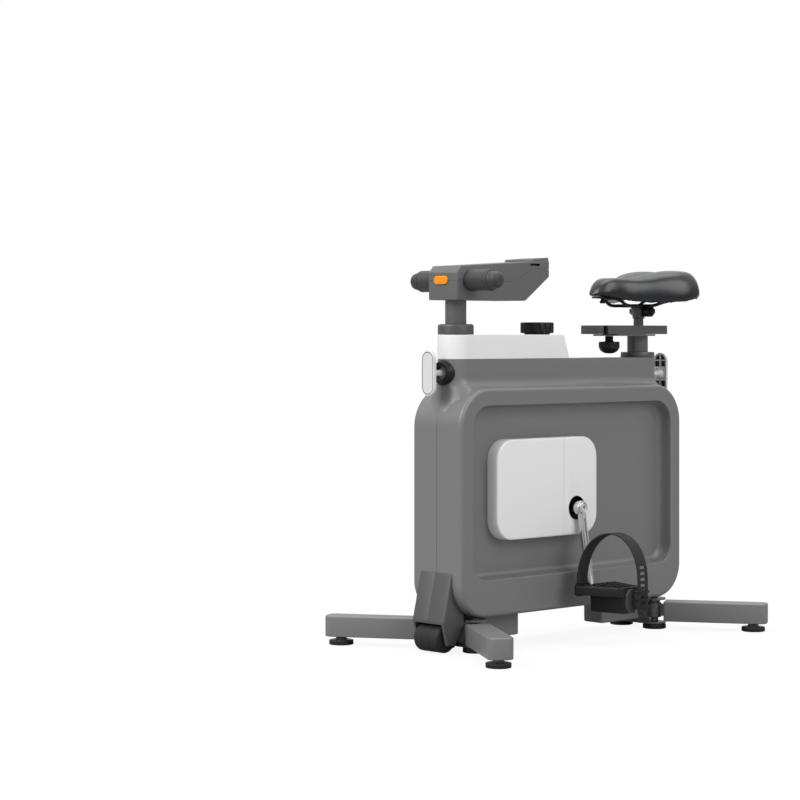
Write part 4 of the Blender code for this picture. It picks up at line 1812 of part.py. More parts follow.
def build_legs():
    for place, end in (("front", -1), ("rear", 1)):
        pivot_bracket(place + "_pivot_bracket", end)
        for hand, side in (("left", -1), ("right", 1)):
            swing_leg(f"{place}_{hand}_leg", end, side)
            leg_foot(f"{place}_{hand}_leg_foot", end, side)
            pivot_foot(f"{place}_{hand}_pivot_foot", end, side)


def build_handlebar():
    handlebar_post()
    unit_shell("handlebar_lower_shell", -1)
    unit_shell("handlebar_upper_shell", 1)
    release_button()
    grip("left_grip", -1)
    grip("right_grip", 1)
    pull_knob("front_pull_knob", -1, FRONT_POST_X, FRONT_POST_RADIUS, FRONT_PIN_Z, FRONT_PULL_REACH)


def build_seat():
    seat_post()
    slider_block()
    slider_knob()
    saddle_clamp()
    saddle_rails()
    saddle_base()
    saddle_cushion()
    pull_knob("rear_pull_knob", 1, REAR_POST_X, REAR_POST_RADIUS, REAR_PIN_Z, REAR_PULL_REACH)


clear_scene()
build_body()
build_drive()
build_legs()
build_handlebar()
build_seat()
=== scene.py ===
"""Mini exercise bike with swing-out legs: its finished pieces, materials, light and camera."""

import json
import math

import bmesh
import bpy
from mathutils import Matrix, Vector

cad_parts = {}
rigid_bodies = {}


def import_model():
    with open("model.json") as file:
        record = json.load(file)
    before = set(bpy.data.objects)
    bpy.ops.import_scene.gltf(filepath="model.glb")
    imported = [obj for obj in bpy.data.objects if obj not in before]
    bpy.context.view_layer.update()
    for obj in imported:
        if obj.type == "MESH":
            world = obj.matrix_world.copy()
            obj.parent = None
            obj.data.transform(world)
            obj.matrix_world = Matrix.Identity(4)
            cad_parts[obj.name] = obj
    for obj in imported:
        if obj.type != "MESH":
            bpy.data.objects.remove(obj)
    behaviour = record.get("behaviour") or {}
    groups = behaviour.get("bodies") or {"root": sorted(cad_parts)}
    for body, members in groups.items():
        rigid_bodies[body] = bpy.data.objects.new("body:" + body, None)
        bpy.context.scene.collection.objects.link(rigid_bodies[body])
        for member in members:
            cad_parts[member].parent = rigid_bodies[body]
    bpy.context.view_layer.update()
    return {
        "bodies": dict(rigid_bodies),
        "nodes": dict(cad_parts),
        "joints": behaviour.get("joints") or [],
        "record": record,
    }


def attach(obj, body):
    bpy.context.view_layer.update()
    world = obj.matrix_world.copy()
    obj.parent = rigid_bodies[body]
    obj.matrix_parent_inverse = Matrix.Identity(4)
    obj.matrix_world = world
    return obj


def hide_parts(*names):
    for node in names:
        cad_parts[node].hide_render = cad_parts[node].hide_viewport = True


MM = 0.001
AXES = {"X": Vector((1, 0, 0)), "Y": Vector((0, 1, 0)), "Z": Vector((0, 0, 1))}
TURNS = {"X": (0, math.pi / 2, 0), "Y": (-math.pi / 2, 0, 0), "Z": (0, 0, 0)}
SMOOTH = math.radians(35)

# Places shared by several pieces, in millimetres
FRONT_POST = -277.0
REAR_POST = 268.0
CRANK_Z = 270.0
COVER_TOP = 621.6
PEDAL_X = 12.4505
PEDAL_Z = 100.457
HANDLE_X = -275.0
HANDLE_Z = 728.0
FRONT_PIN_Z = 546.6
REAR_PIN_Z = 538
STOP_COUNT = 7
STOP_PITCH = 25
OPENING_RADIUS = 24.3
PULL_HALF_WIDTH = 18
PULL_HALF_HEIGHT = 44.5
DIAL_X = -44
KNOB_X = 177
CLAMP_X = 271
LEG_X = 269
LEG_Y = 46
LEG_ANGLE = 33
LEG_REACH = 208
ROLLER = (-335, 29.5)
STRAP_INNER_X = PEDAL_X - 38
STRAP_OUTER_X = PEDAL_X + 19
STRAP_WIDTH = 30
STRAP_SLOTS = 8
SLOT_PITCH = 11.8

# The view: the camera's place, its turn in degrees, its lens and the shift of its picture
CAMERA_PLACE = (-3.4136, -3.1797, 0.621)
CAMERA_TURN = -43.2
CAMERA_LENS = 101.97
CAMERA_SHIFT = -0.08125

# Suns: the direction that the light comes from, its strength and its spread in degrees
SUNS = {
    "key_sun": ((-0.8, 0.15, 0.55), 2.3, 40),
    "side_sun": ((0.1, -0.8, 0.5), 1.3, 40),
    "top_sun": ((0.15, 0.1, 1.0), 1.5, 50),
}


# Finishes: colour, roughness, grain size in mm, grain depth, colour drift, strength of the reflection
PLASTICS = {
    "body_grey": ((0.162, 0.163, 0.165), 0.36, 0.55, 0.10, 0.05, 0.5),
    "leg_grey": ((0.155, 0.156, 0.157), 0.38, 0.35, 0.05, 0.05, 0.5),
    "dark_plastic": ((0.066, 0.066, 0.068), 0.36, 0.60, 0.12, 0.08, 0.5),
    "housing_grey": ((0.112, 0.112, 0.114), 0.40, 0.60, 0.12, 0.08, 0.5),
    "roller_grey": ((0.070, 0.071, 0.072), 0.42, 0.55, 0.10, 0.05, 0.4),
    "black_plastic": ((0.009, 0.009, 0.010), 0.36, 0.60, 0.12, 0.10, 0.25),
    "white_plastic": ((0.79, 0.79, 0.79), 0.30, 1.20, 0.02, 0.02, 0.5),
    # the white plastic made darker, as painted shade on the brightly lit fronts of the pulls
    "shaded_white": ((0.66, 0.66, 0.66), 0.30, 1.20, 0.02, 0.02, 0.5),
    "orange_plastic": ((0.88, 0.29, 0.008), 0.34, 0.60, 0.05, 0.04, 0.3),
    "rubber": ((0.015, 0.015, 0.016), 0.62, 0.50, 0.30, 0.12, 0.25),
    # the rubber made lighter, as a painted highlight on the grips and the pedals' end caps
    "lit_rubber": ((0.036, 0.036, 0.036), 0.50, 0.50, 0.25, 0.12, 0.4),
    "black_metal": ((0.098, 0.098, 0.100), 0.28, 0.25, 0.06, 0.06, 0.6),
}
METALS = {
    "bright_metal": ((0.62, 0.62, 0.63), 0.16),
    "steel": ((0.46, 0.46, 0.47), 0.34),
}


# Shader helpers
def feed(tree, node, entry, value):
    """Sets an input, or links it where the value is a node and the output to take from it."""
    if isinstance(value, tuple) and isinstance(value[0], bpy.types.Node):
        tree.links.new(value[0].outputs[value[1]], node.inputs[entry])
    else:
        node.inputs[entry].default_value = value


def add_node(tree, kind, inputs=None, **settings):
    node = tree.nodes.new(kind)
    for name, value in settings.items():
        setattr(node, name, value)
    for name, value in (inputs or {}).items():
        feed(tree, node, name, value)
    return node


def calculate(tree, operation, first, second, **settings):
    return add_node(tree, "ShaderNodeMath", {0: first, 1: second}, operation=operation, **settings)


def scaled(tree, vector, factor):
    return add_node(tree, "ShaderNodeVectorMath", {0: vector, "Scale": factor}, operation="SCALE")


def new_group(name, inputs, outputs):
    """An empty node group that takes coordinates, with its further inputs and its outputs."""
    group = bpy.data.node_groups.new(name, "ShaderNodeTree")
    group.interface.new_socket("Coordinates", in_out="INPUT", socket_type="NodeSocketVector")
    for label, kind, value in inputs:
        socket = group.interface.new_socket(label, in_out="INPUT", socket_type=kind)
        socket.default_value = value
    for label, kind in outputs:
        group.interface.new_socket(label, in_out="OUTPUT", socket_type=kind)
    return group, add_node(group, "NodeGroupInput"), add_node(group, "NodeGroupOutput")


def moulded_grain():
    """Fine pebbled grain of a moulded part."""
    inputs = [("Grain Size", "NodeSocketFloat", 0.6)]
    group, start, end = new_group("moulded grain", inputs, [("Height", "NodeSocketFloat")])
    density = calculate(group, "DIVIDE", 1000.0, (start, "Grain Size"))
    pattern = {"Vector": (start, "Coordinates"), "Scale": (density, 0)}
    fine = add_node(group, "ShaderNodeTexNoise", {**pattern, "Detail": 2.0, "Roughness": 0.6})
    coarse = add_node(group, "ShaderNodeTexVoronoi", {**pattern, "Randomness": 1.0})
    blend = calculate(group, "MULTIPLY", (fine, "Fac"), (coarse, "Distance"))
    feed(group, end, "Height", (blend, 0))
    return group


def colour_drift():
    """Slow changes of colour and gloss over a large surface, with faint handling smears."""
    inputs = [("Colour", "NodeSocketColor", (0.5, 0.5, 0.5, 1))]
    inputs += [("Amount", "NodeSocketFloat", 0.05), ("Roughness", "NodeSocketFloat", 0.4)]
    outputs = [("Colour", "NodeSocketColor"), ("Roughness", "NodeSocketFloat")]
    group, start, end = new_group("colour drift", inputs, outputs)
    cloud = {"Vector": (start, "Coordinates"), "Scale": 7.0, "Detail": 4.0, "Roughness": 0.55}
    cloud = add_node(group, "ShaderNodeTexNoise", cloud)
    centred = calculate(group, "SUBTRACT", (cloud, "Fac"), 0.5)
    amount = calculate(group, "MULTIPLY", (centred, 0), (start, "Amount"))
    level = calculate(group, "ADD", (amount, 0), 1.0)
    feed(group, end, "Colour", (scaled(group, (start, "Colour"), (level, 0)), 0))
    smear = {"Vector": (start, "Coordinates"), "Scale": 38.0, "Detail": 6.0, "Distortion": 0.8}
    smear = add_node(group, "ShaderNodeTexNoise", smear)
    limits = {"Value": (smear, "Fac"), "To Min": -0.035, "To Max": 0.045}
    gloss = add_node(group, "ShaderNodeMapRange", limits)
    rough = calculate(group, "ADD", (start, "Roughness"), (gloss, "Result"), use_clamp=True)
    feed(group, end, "Roughness", (rough, 0))
    return group


def polished_lines():
    """Fine polishing lines on bare metal, drawn out along one direction."""
    outputs = [("Height", "NodeSocketFloat"), ("Shade", "NodeSocketFloat")]
    group, start, end = new_group("polished lines", [], outputs)
    stretch = {"Vector": (start, "Coordinates"), "Scale": (900.0, 900.0, 30.0)}
    stretch = add_node(group, "ShaderNodeMapping", stretch)
    lines = add_node(group, "ShaderNodeTexNoise", {"Vector": (stretch, 0), "Scale": 1.0, "Detail": 3.0})
    feed(group, end, "Height", (lines, "Fac"))
    limits = {"Value": (lines, "Fac"), "To Min": -0.05, "To Max": 0.07}
    feed(group, end, "Shade", (add_node(group, "ShaderNodeMapRange", limits), "Result"))
    return group


def leather_grain():
    """Small pebbles and creases of a leather-like cover."""
    group, start, end = new_group("leather grain", [], [("Height", "NodeSocketFloat")])
    place = (start, "Coordinates")
    bend = add_node(group, "ShaderNodeTexNoise", {"Vector": place, "Scale": 220.0, "Detail": 2.0})
    shift = scaled(group, (bend, "Color"), 0.0016)
    moved = add_node(group, "ShaderNodeVectorMath", {0: place, 1: (shift, 0)}, operation="ADD")
    cells = {"Vector": (moved, 0), "Scale": 620.0}
    cells = add_node(group, "ShaderNodeTexVoronoi", cells, feature="DISTANCE_TO_EDGE")
    limits = {"Value": (cells, "Distance"), "From Max": 0.28}
    pebble = add_node(group, "ShaderNodeMapRange", limits, interpolation_type="SMOOTHSTEP")
    feed(group, end, "Height", (pebble, "Result"))
    return group


def start_material(name, grey):
    material = bpy.data.materials.new(name)
    material.use_nodes = True
    material.diffuse_color = (*grey, 1)
    tree = material.node_tree
    return material, tree, tree.nodes["Principled BSDF"], add_node(tree, "ShaderNodeTexCoord")


def place_group(tree, group, coordinates, values=None):
    """A shared effect, laid out by the piece's own coordinates."""
    inputs = {"Coordinates": (coordinates, "Object"), **(values or {})}
    return add_node(tree, "ShaderNodeGroup", inputs, node_tree=group)


def add_bump(tree, shader, source, strength, distance):
    inputs = {"Height": (source, "Height"), "Strength": strength, "Distance": distance}
    feed(tree, shader, "Normal", (add_node(tree, "ShaderNodeBump", inputs), "Normal"))


def plastic(name, groups, colour, roughness, grain_size, grain_depth, drift_amount, reflection):
    material, tree, shader, coordinates = start_material(name, colour)
    values = {"Colour": (*colour, 1), "Amount": drift_amount, "Roughness": roughness}
    drift = place_group(tree, groups["drift"], coordinates, values)
    feed(tree, shader, "Base Color", (drift, "Colour"))
    feed(tree, shader, "Roughness", (drift, "Roughness"))
    feed(tree, shader, "Specular IOR Level", reflection)
    grain = place_group(tree, groups["grain"], coordinates, {"Grain Size": grain_size})
    add_bump(tree, shader, grain, grain_depth, 0.0004)
    return material


def metal(name, groups, colour, roughness):
    material, tree, shader, coordinates = start_material(name, colour)
    values = {"Colour": (*colour, 1), "Amount": 0.10}
    drift = place_group(tree, groups["drift"], coordinates, values)
    lines = place_group(tree, groups["lines"], coordinates)
    feed(tree, shader, "Base Color", (drift, "Colour"))
    feed(tree, shader, "Roughness", (calculate(tree, "ADD", (lines, "Shade"), roughness), 0))
    feed(tree, shader, "Metallic", 1.0)
    add_bump(tree, shader, lines, 0.06, 0.0003)
    return material


def leatherette(groups):
    material, tree, shader, coordinates = start_material("leatherette", (0.03, 0.031, 0.033))
    values = {"Colour": (0.009, 0.010, 0.012, 1), "Amount": 0.16, "Roughness": 0.24}
    drift = place_group(tree, groups["drift"], coordinates, values)
    leather = place_group(tree, groups["leather"], coordinates)
    limits = {"Value": (leather, "Height"), "To Min": 0.72, "To Max": 1.0}
    shade = add_node(tree, "ShaderNodeMapRange", limits)
    feed(tree, shader, "Base Color", (scaled(tree, (drift, "Colour"), (shade, "Result")), 0))
    feed(tree, shader, "Roughness", (drift, "Roughness"))
    feed(tree, shader, "Specular IOR Level", 0.42)
    feed(tree, shader, "Sheen Weight", 0.05)
    feed(tree, shader, "Sheen Roughness", 0.4)
    add_bump(tree, shader, leather, 0.06, 0.0004)
    return material


def make_materials():
    groups = {
        "grain": moulded_grain(),
        "drift": colour_drift(),
        "lines": polished_lines(),
        "leather": leather_grain(),
    }
    made = {name: plastic(name, groups, *values) for name, values in PLASTICS.items()}
    made.update({name: metal(name, groups, *values) for name, values in METALS.items()})
    made["leatherette"] = leatherette(groups)
    return made


# Modelling helpers
def clear_selection():
    if bpy.context.mode != "OBJECT":
        bpy.ops.object.mode_set(mode="OBJECT")
    bpy.ops.object.select_all(action="DESELECT")


def hold(piece):
    clear_selection()
    piece.select_set(True)
    bpy.context.view_layer.objects.active = piece
    return piece


def settle(name):
    """Names the new piece and puts its place into its mesh."""
    piece = bpy.context.object
    piece.name = name
    piece.data.name = name
    bpy.ops.object.transform_apply(location=True, rotation=True, scale=True)
    return piece


def add_box(name, corner, opposite):
    """A box between two opposite corners, given in any order."""
    clear_selection()
    corner, opposite = Vector(corner) * MM, Vector(opposite) * MM
    size = [abs(width) for width in opposite - corner]
    bpy.ops.mesh.primitive_cube_add(size=1, location=(corner + opposite) / 2, scale=size)
    return settle(name)


def rounded_box(name, corner, opposite, *rounds):
    """A box with rounded edges: each round is a test for its edges, a radius and a count of segments."""
    box = add_box(name, corner, opposite)
    edit(box)
    for test, radius, segments in rounds:
        round_edges(box, test, radius, segments)
    return leave(box)


def spot(axis, centre, position):
    """The point on a turning axis at a position along it, in metres."""
    u, v = centre
    point = {"X": (position, u, v), "Y": (u, position, v), "Z": (u, v, position)}[axis]
    return Vector(point) * MM


def add_cylinder(name, axis, centre, radius, low, high, sides=48):
    clear_selection()
    middle = spot(axis, centre, (low + high) / 2)
    size = {"radius": radius * MM, "depth": abs(high - low) * MM}
    bpy.ops.mesh.primitive_cylinder_add(vertices=sides, location=middle, rotation=TURNS[axis], **size)
    return settle(name)


def turn(name, axis, centre, profile, sides=48, bore=False):
    """A turned piece, drawn out ring by ring from a circle. A bored one ends on its first ring."""
    clear_selection()
    radius, position = profile[0]
    fill = "NOTHING" if bore else "NGON"
    place = spot(axis, centre, position)
    size = {"vertices": sides, "radius": radius * MM}
    bpy.ops.mesh.primitive_circle_add(fill_type=fill, location=place, rotation=TURNS[axis], **size)
    piece = settle(name)
    edit(piece)
    choose_all()
    for next_radius, next_position in profile[1:] + (profile[:1] if bore else []):
        step = AXES[axis] * (next_position - position) * MM
        draw_out(step)
        share = next_radius / radius
        value = [1 if axis == name_of else share for name_of in "XYZ"]
        bpy.ops.transform.resize(value=value, center_override=spot(axis, centre, next_position))
        radius, position = next_radius, next_position
    tidy_mesh()
    return leave(piece)


def edit(piece):
    hold(piece)
    bpy.ops.object.mode_set(mode="EDIT")
    bpy.ops.mesh.select_all(action="DESELECT")


def leave(piece):
    bpy.ops.object.mode_set(mode="OBJECT")
    return piece


def choose_all():
    bpy.ops.mesh.select_all(action="SELECT")


def draw_out(step):
    bpy.ops.mesh.extrude_region_move(TRANSFORM_OT_translate={"value": step})


def inset(inward, rise=0):
    """Draws the chosen faces inwards and raises them, or sinks them where the rise is negative."""
    bpy.ops.mesh.inset(thickness=inward * MM, depth=rise * MM)


def tidy_mesh():
    """Merges doubles and turns the faces outwards, in edit mode."""
    choose_all()
    bpy.ops.mesh.remove_doubles(threshold=0.000005)
    bpy.ops.mesh.normals_make_consistent(inside=False)


def pick_faces(piece, test):
    bpy.ops.mesh.select_mode(type="FACE")
    mesh = bmesh.from_edit_mesh(piece.data)
    for face in mesh.faces:
        face.select_set(bool(test(face.calc_center_median() / MM, face.normal)))
    bmesh.update_edit_mesh(piece.data)


def pick_edges(piece, test):
    bpy.ops.mesh.select_mode(type="EDGE")
    mesh = bmesh.from_edit_mesh(piece.data)
    for edge in mesh.edges:
        first, second = (vertex.co / MM for vertex in edge.verts)
        edge.select_set(bool(test(first, second)))
    bmesh.update_edit_mesh(piece.data)


def pick_points(piece, test):
    bpy.ops.mesh.select_mode(type="VERT")
    mesh = bmesh.from_edit_mesh(piece.data)
    for vertex in mesh.verts:
        vertex.select_set(bool(test(vertex.co / MM)))
    mesh.select_flush(True)
    bmesh.update_edit_mesh(piece.data)


def shift_points(piece, test, step):
    pick_points(piece, test)
    bpy.ops.transform.translate(value=Vector(step) * MM)


def round_edges(piece, test, radius, segments):
    pick_edges(piece, test)
    size = {"offset": radius * MM, "segments": segments}
    bpy.ops.mesh.bevel(offset_type="OFFSET", affect="EDGES", clamp_overlap=False, **size)


def along(axis, first, second):
    run = (second - first).normalized()
    return abs(run["XYZ".index(axis)]) > 0.999


def runs(axis):
    """A test for edges that run along an axis."""
    return lambda first, second: along(axis, first, second)


def above(axis, limit):
    """A test for edges that lie past a limit with both ends."""
    return lambda first, second: min(getattr(first, axis), getattr(second, axis)) > limit


def below(axis, limit):
    """A test for edges that lie short of a limit with both ends."""
    return lambda first, second: max(getattr(first, axis), getattr(second, axis)) < limit


def apply_modifier(piece, kind, **settings):
    hold(piece)
    modifier = piece.modifiers.new(kind.lower(), kind)
    for name, value in settings.items():
        setattr(modifier, name, value)
    bpy.ops.object.modifier_apply(modifier=modifier.name)
    return piece


def soften(piece, width, segments=3, angle=30):
    """A small round on every sharp edge."""
    settings = {"width": width * MM, "segments": segments, "miter_outer": "MITER_ARC"}
    settings.update({"limit_method": "ANGLE", "angle_limit": math.radians(angle)})
    return apply_modifier(piece, "BEVEL", harden_normals=False, **settings)


def combine(piece, operation, other):
    apply_modifier(piece, "BOOLEAN", operation=operation, solver="EXACT", object=other)
    bpy.data.objects.remove(other)
    return piece


def cut(piece, other):
    return combine(piece, "DIFFERENCE", other)


def fuse(piece, *others):
    for other in others:
        combine(piece, "UNION", other)
    return piece


def merge_into(piece, *others):
    """Puts separate solids of one piece into one object."""
    hold(piece)
    for other in others:
        other.select_set(True)
    bpy.ops.object.join()
    return piece


def copy_of(piece, name):
    other = piece.copy()
    other.data = piece.data.copy()
    other.name = name
    other.data.name = name
    bpy.context.scene.collection.objects.link(other)
    return other


def mirrored(piece, name, flip, step=(0, 0, 0)):
    """A copy flipped about the bike's middle planes, then moved."""
    other = hold(copy_of(piece, name))
    bpy.ops.object.mode_set(mode="EDIT")
    choose_all()
    bpy.ops.transform.resize(value=flip, center_override=(0, 0, 0))
    bpy.ops.transform.translate(value=Vector(step) * MM)
    bpy.ops.mesh.normals_make_consistent(inside=False)
    return leave(other)


def slice_off(piece, point, normal):
    """Cuts off what lies on the normal's side of a plane and closes the cut."""
    edit(piece)
    choose_all()
    plane = {"plane_co": Vector(point) * MM, "plane_no": Vector(normal).normalized()}
    bpy.ops.mesh.bisect(use_fill=True, clear_outer=True, **plane)
    return leave(piece)


def seam_halves(whole, names, gap, radius):
    """Parts a piece at the bike's middle plane, with a fine round along the seam, and names its halves."""
    for name, side in zip(names, (-1, 1)):
        half = copy_of(whole, name + "_skin")
        slice_off(half, (0, side * gap, 0), (0, -side, 0))
        edit(half)
        round_edges(half, lambda a, b: max(abs(a.y), abs(b.y)) < gap + 0.05, radius, 2)
        yield leave(half), name
    bpy.data.objects.remove(whole)


def smooth(piece, angle=SMOOTH):
    hold(piece)
    bpy.ops.object.shade_smooth_by_angle(angle=angle)
    return piece


def finish_piece(piece, materials, slot, body, nodes=(), angle=SMOOTH, shade=None):
    """Gives a piece its finish, or a shade of it, its body and the nodes that it stands for."""
    smooth(piece, angle)
    if not piece.data.materials:
        piece.data.materials.append(None)
    piece.data.materials[0] = materials[shade or slot]
    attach(piece, body)
    if nodes:
        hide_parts(*nodes)
    return piece


def paint(piece, materials, slot, test):
    """A second finish on the faces that pass the test."""
    if not piece.data.materials:
        piece.data.materials.append(None)
    piece.data.materials.append(materials[slot])
    number = len(piece.data.materials) - 1
    for face in piece.data.polygons:
        if test(face.center / MM, face.normal):
            face.material_index = number


# Body
def body_block():
    """Slab, beam and skirts in one closed piece, before it is parted at the seam."""
    slab = add_box("slab", (-330, -68, 68), (330, 68, 517))
    edit(slab)
    round_edges(slab, lambda a, b: along("Y", a, b) and a.z > 300, 78, 20)
    round_edges(slab, lambda a, b: along("Y", a, b) and a.z < 300 and abs(a.x) > 329, 70, 18)
    round_edges(slab, lambda a, b: abs(a.y) > 67.9 and abs(b.y) > 67.9 and a.y * b.y > 0, 8, 5)
    for side in (-1, 1):
        sink_recess(slab, side)
    leave(slab)
    beam = beam_block()
    skirts = [skirt_block(end) for end in (-1, 1)]
    return fuse(slab, beam, *skirts)


def sink_recess(slab, side):
    """The deep recess of one side, sunk step by step from its rim to its floor."""
    pick_faces(slab, lambda c, n: n.y * side > 0.99 and abs(c.y) > 67)
    inset(24)
    shift_inner(slab, 39, -1)
    steps = [(0.8, 0.4), (0.8, 1.0), (0.5, 2.2), (1.0, 8.0), (1.2, 6.0), (1.4, 4.0)]
    steps += [(1.9, 2.8), (2.3, 1.8), (2.6, 1.2), (2.7, 0.5), (2.4, 0.1)]
    for inward, down in steps:
        inset(inward, -down)


def shift_inner(slab, lift, drop):
    """Moves the lower and upper edges of the chosen rim, so that its margins differ."""
    mesh = bmesh.from_edit_mesh(slab.data)
    chosen = {vertex for face in mesh.faces if face.select for vertex in face.verts}
    for vertex in chosen:
        vertex.co.z += (lift if vertex.co.z < 0.292 else drop) * MM
    bmesh.update_edit_mesh(slab.data)


def beam_block():
    """The beam on top: a rounded bar that flares into the slab at its foot."""
    front, rear = FRONT_POST - 36, REAR_POST + 36
    beam = add_box("beam", (front, -36, 539), (rear, 36, 573.6))
    edit(beam)
    round_edges(beam, runs("Z"), 35.9, 20)
    round_edges(beam, above("z", 573), 1.5, 2)
    pick_faces(beam, lambda c, n: n.z < -0.9)
    middle, length, width = (front + rear) / 2, (rear - front) / 2, 36.0
    rings = [(534, 0.4, 0), (529.5, 1.4, 0), (525.5, 3.2, 0), (522, 5.6, 0), (519, 9, 0), (516.8, 13, 0.3)]
    rings += [(508, 17, 1.2), (498, 20, 3), (488, 22, 6), (479, 23, 9), (472, 23.5, 12), (440, 24, 14)]
    height, wide, long = 539, width, length
    for z, side_flare, end_flare in rings:
        draw_out(Vector((0, 0, z - height)) * MM)
        value = ((length + end_flare) / long, (width + side_flare) / wide, 1)
        bpy.ops.transform.resize(value=value, center_override=Vector((middle, 0, z)) * MM)
        height, wide, long = z, width + side_flare, length + end_flare
    leave(beam)
    for side in (-1, 1):
        cut(beam, add_box("recess_room", (-299.4, side * 30, 430), (299.4, side * 75, 500)))
    return beam


def skirt_block(end):
    return rounded_box(
        "skirt", (end * 124, -27, 20), (end * 243, 27, 80),
        (runs("Z"), 7, 6),
        (below("z", 21), 4, 5),
    )


def body_shells(materials):
    for shell, name in seam_halves(body_block(), ("left_shell", "right_shell"), 0.2, 0.5):
        finish_piece(shell, materials, "body_grey", "frame", [name])
        apply_modifier(shell, "WEIGHTED_NORMAL", keep_sharp=True)


# Covers, collars and pulls
def crank_cover(side):
    """A dished plate in the recess, with a parting line and the round opening for the crank."""
    cover = rounded_box(
        "crank_cover", (-230, side * 40.8, 215.8), (61, side * 70, 414.5),
        (runs("Y"), 42, 20),
        (lambda a, b: min(abs(a.y), abs(b.y)) > 69.9, 4, 5),
    )
    cut(cover, add_box("parting_line", (-39.4, side * 69.1, 200), (-38.5, side * 75, 420)))
    cut(cover, add_cylinder("opening", "Y", (0, CRANK_Z), OPENING_RADIUS, side * 52, side * 75, 64))
    cut(cover, add_cylinder("axle_hole", "Y", (0, CRANK_Z), 10, side * 35, side * 60, 32))
    edit(cover)
    round_edges(cover, lambda a, b: on_rim(a) and on_rim(b), 1.2, 3)
    return leave(cover)


def on_rim(point):
    """True on the outer rim of the crank's opening."""
    return abs(math.hypot(point.x, point.z - CRANK_Z) - OPENING_RADIUS) < 0.05 and abs(point.y) > 69.5


def crank_covers(materials):
    for name, side in (("left_crank_cover", -1), ("right_crank_cover", 1)):
        cover = crank_cover(side)
        cover.name = name + "_plate"
        inside = lambda c, n: math.hypot(c.x, c.z - CRANK_Z) < OPENING_RADIUS + 0.2 and abs(c.y) < 69
        paint(cover, materials, "black_plastic", inside)
        finish_piece(cover, materials, "white_plastic", "frame", [name])


def top_cover(materials):
    """The white cover over the beam, round at the post and sloped behind the dial."""
    cover = add_box("top_cover_skin", (-313, -36, 573.9), (17.9, 36, COVER_TOP))
    edit(cover)
    round_edges(cover, lambda a, b: along("Z", a, b) and a.x < -300, 35.9, 24)
    round_edges(cover, lambda a, b: along("Z", a, b) and a.x > 0, 7, 6)
    shift_points(cover, lambda p: p.z > 620 and p.x > 5, (-15.9, 0, 0))
    round_edges(cover, above("z", 621), 2.0, 4)
    leave(cover)
    cut(cover, add_cylinder("post_hole", "Z", (FRONT_POST, 0), 21.6, 560, 640, 64))
    finish_piece(cover, materials, "white_plastic", "frame", ["top_cover"])


def collars(materials):
    profile = [(21.4, 621.9), (34.8, 621.9), (35.5, 622.6), (35.5, 638.2), (35.2, 639.6), (33.0, 642.2)]
    profile += [(31.8, 642.6), (24.0, 642.6), (22.6, 642.0), (21.4, 640.6)]
    collar = turn("post_collar_ring", "Z", (FRONT_POST, 0), profile, 72, True)
    finish_piece(collar, materials, "dark_plastic", "frame", ["post_collar"])
    profile = [(22.4, 573.8), (36.3, 573.8), (36.3, 576.4), (35.9, 576.8), (35.9, 582.6), (35.2, 584.2)]
    profile += [(34.0, 584.9), (25.4, 584.9), (24.0, 584.3), (22.4, 582.4)]
    collar = turn("seat_collar_ring", "Z", (REAR_POST, 0), profile, 72, True)
    finish_piece(collar, materials, "dark_plastic", "frame", ["seat_collar"])


def pin_boss(materials):
    """The stepped boss round the front pin."""
    profile = [(13.0, -303.4), (25.0, -303.4), (25.0, -313.6), (24.4, -314.8), (22.9, -315.3)]
    profile += [(22.6, -319.2), (21.8, -320.4), (20.6, -321.0), (18.6, -321.0), (17.8, -320.2)]
    profile += [(17.2, -317.4), (15.0, -316.8), (14.2, -317.4), (13.0, -316.6)]
    boss = turn("front_pin_boss_ring", "X", (0, FRONT_PIN_Z), profile, 64, True)
    finish_piece(boss, materials, "black_plastic", "frame", ["front_pin_boss"])


def pull_pockets(back, floor, pin):
    """The lattice of pockets in the back of a pull plate."""
    low, high = sorted((back, floor))
    core = rounded_box("pockets", (low, -14.8, pin - 41.3), (high, 14.8, pin + 41.3), (runs("X"), 14.7, 12))
    cut(core, add_box("rib", (low - 1, -1.3, pin - 50), (high + 1, 1.3, pin + 50)))
    cut(core, add_box("middle", (low - 1, -20, pin - 15), (high + 1, 20, pin + 15)))
    for offset in (-28.6, 28.6):
        cut(core, add_box("rib", (low - 1, -20, pin + offset - 1.2), (high + 1, 20, pin + offset + 1.2)))
    return core


def on_shaded_groove(point, face, pin):
    """True in the groove round the front of a pull plate, which is painted darker as shade."""
    straight = PULL_HALF_HEIGHT - PULL_HALF_WIDTH + 0.1
    inward = PULL_HALF_WIDTH - math.hypot(point.y, max(0, abs(point.z - pin) - straight))
    return abs(point.x - face) < 0.7 and 2.9 < inward < 4.4


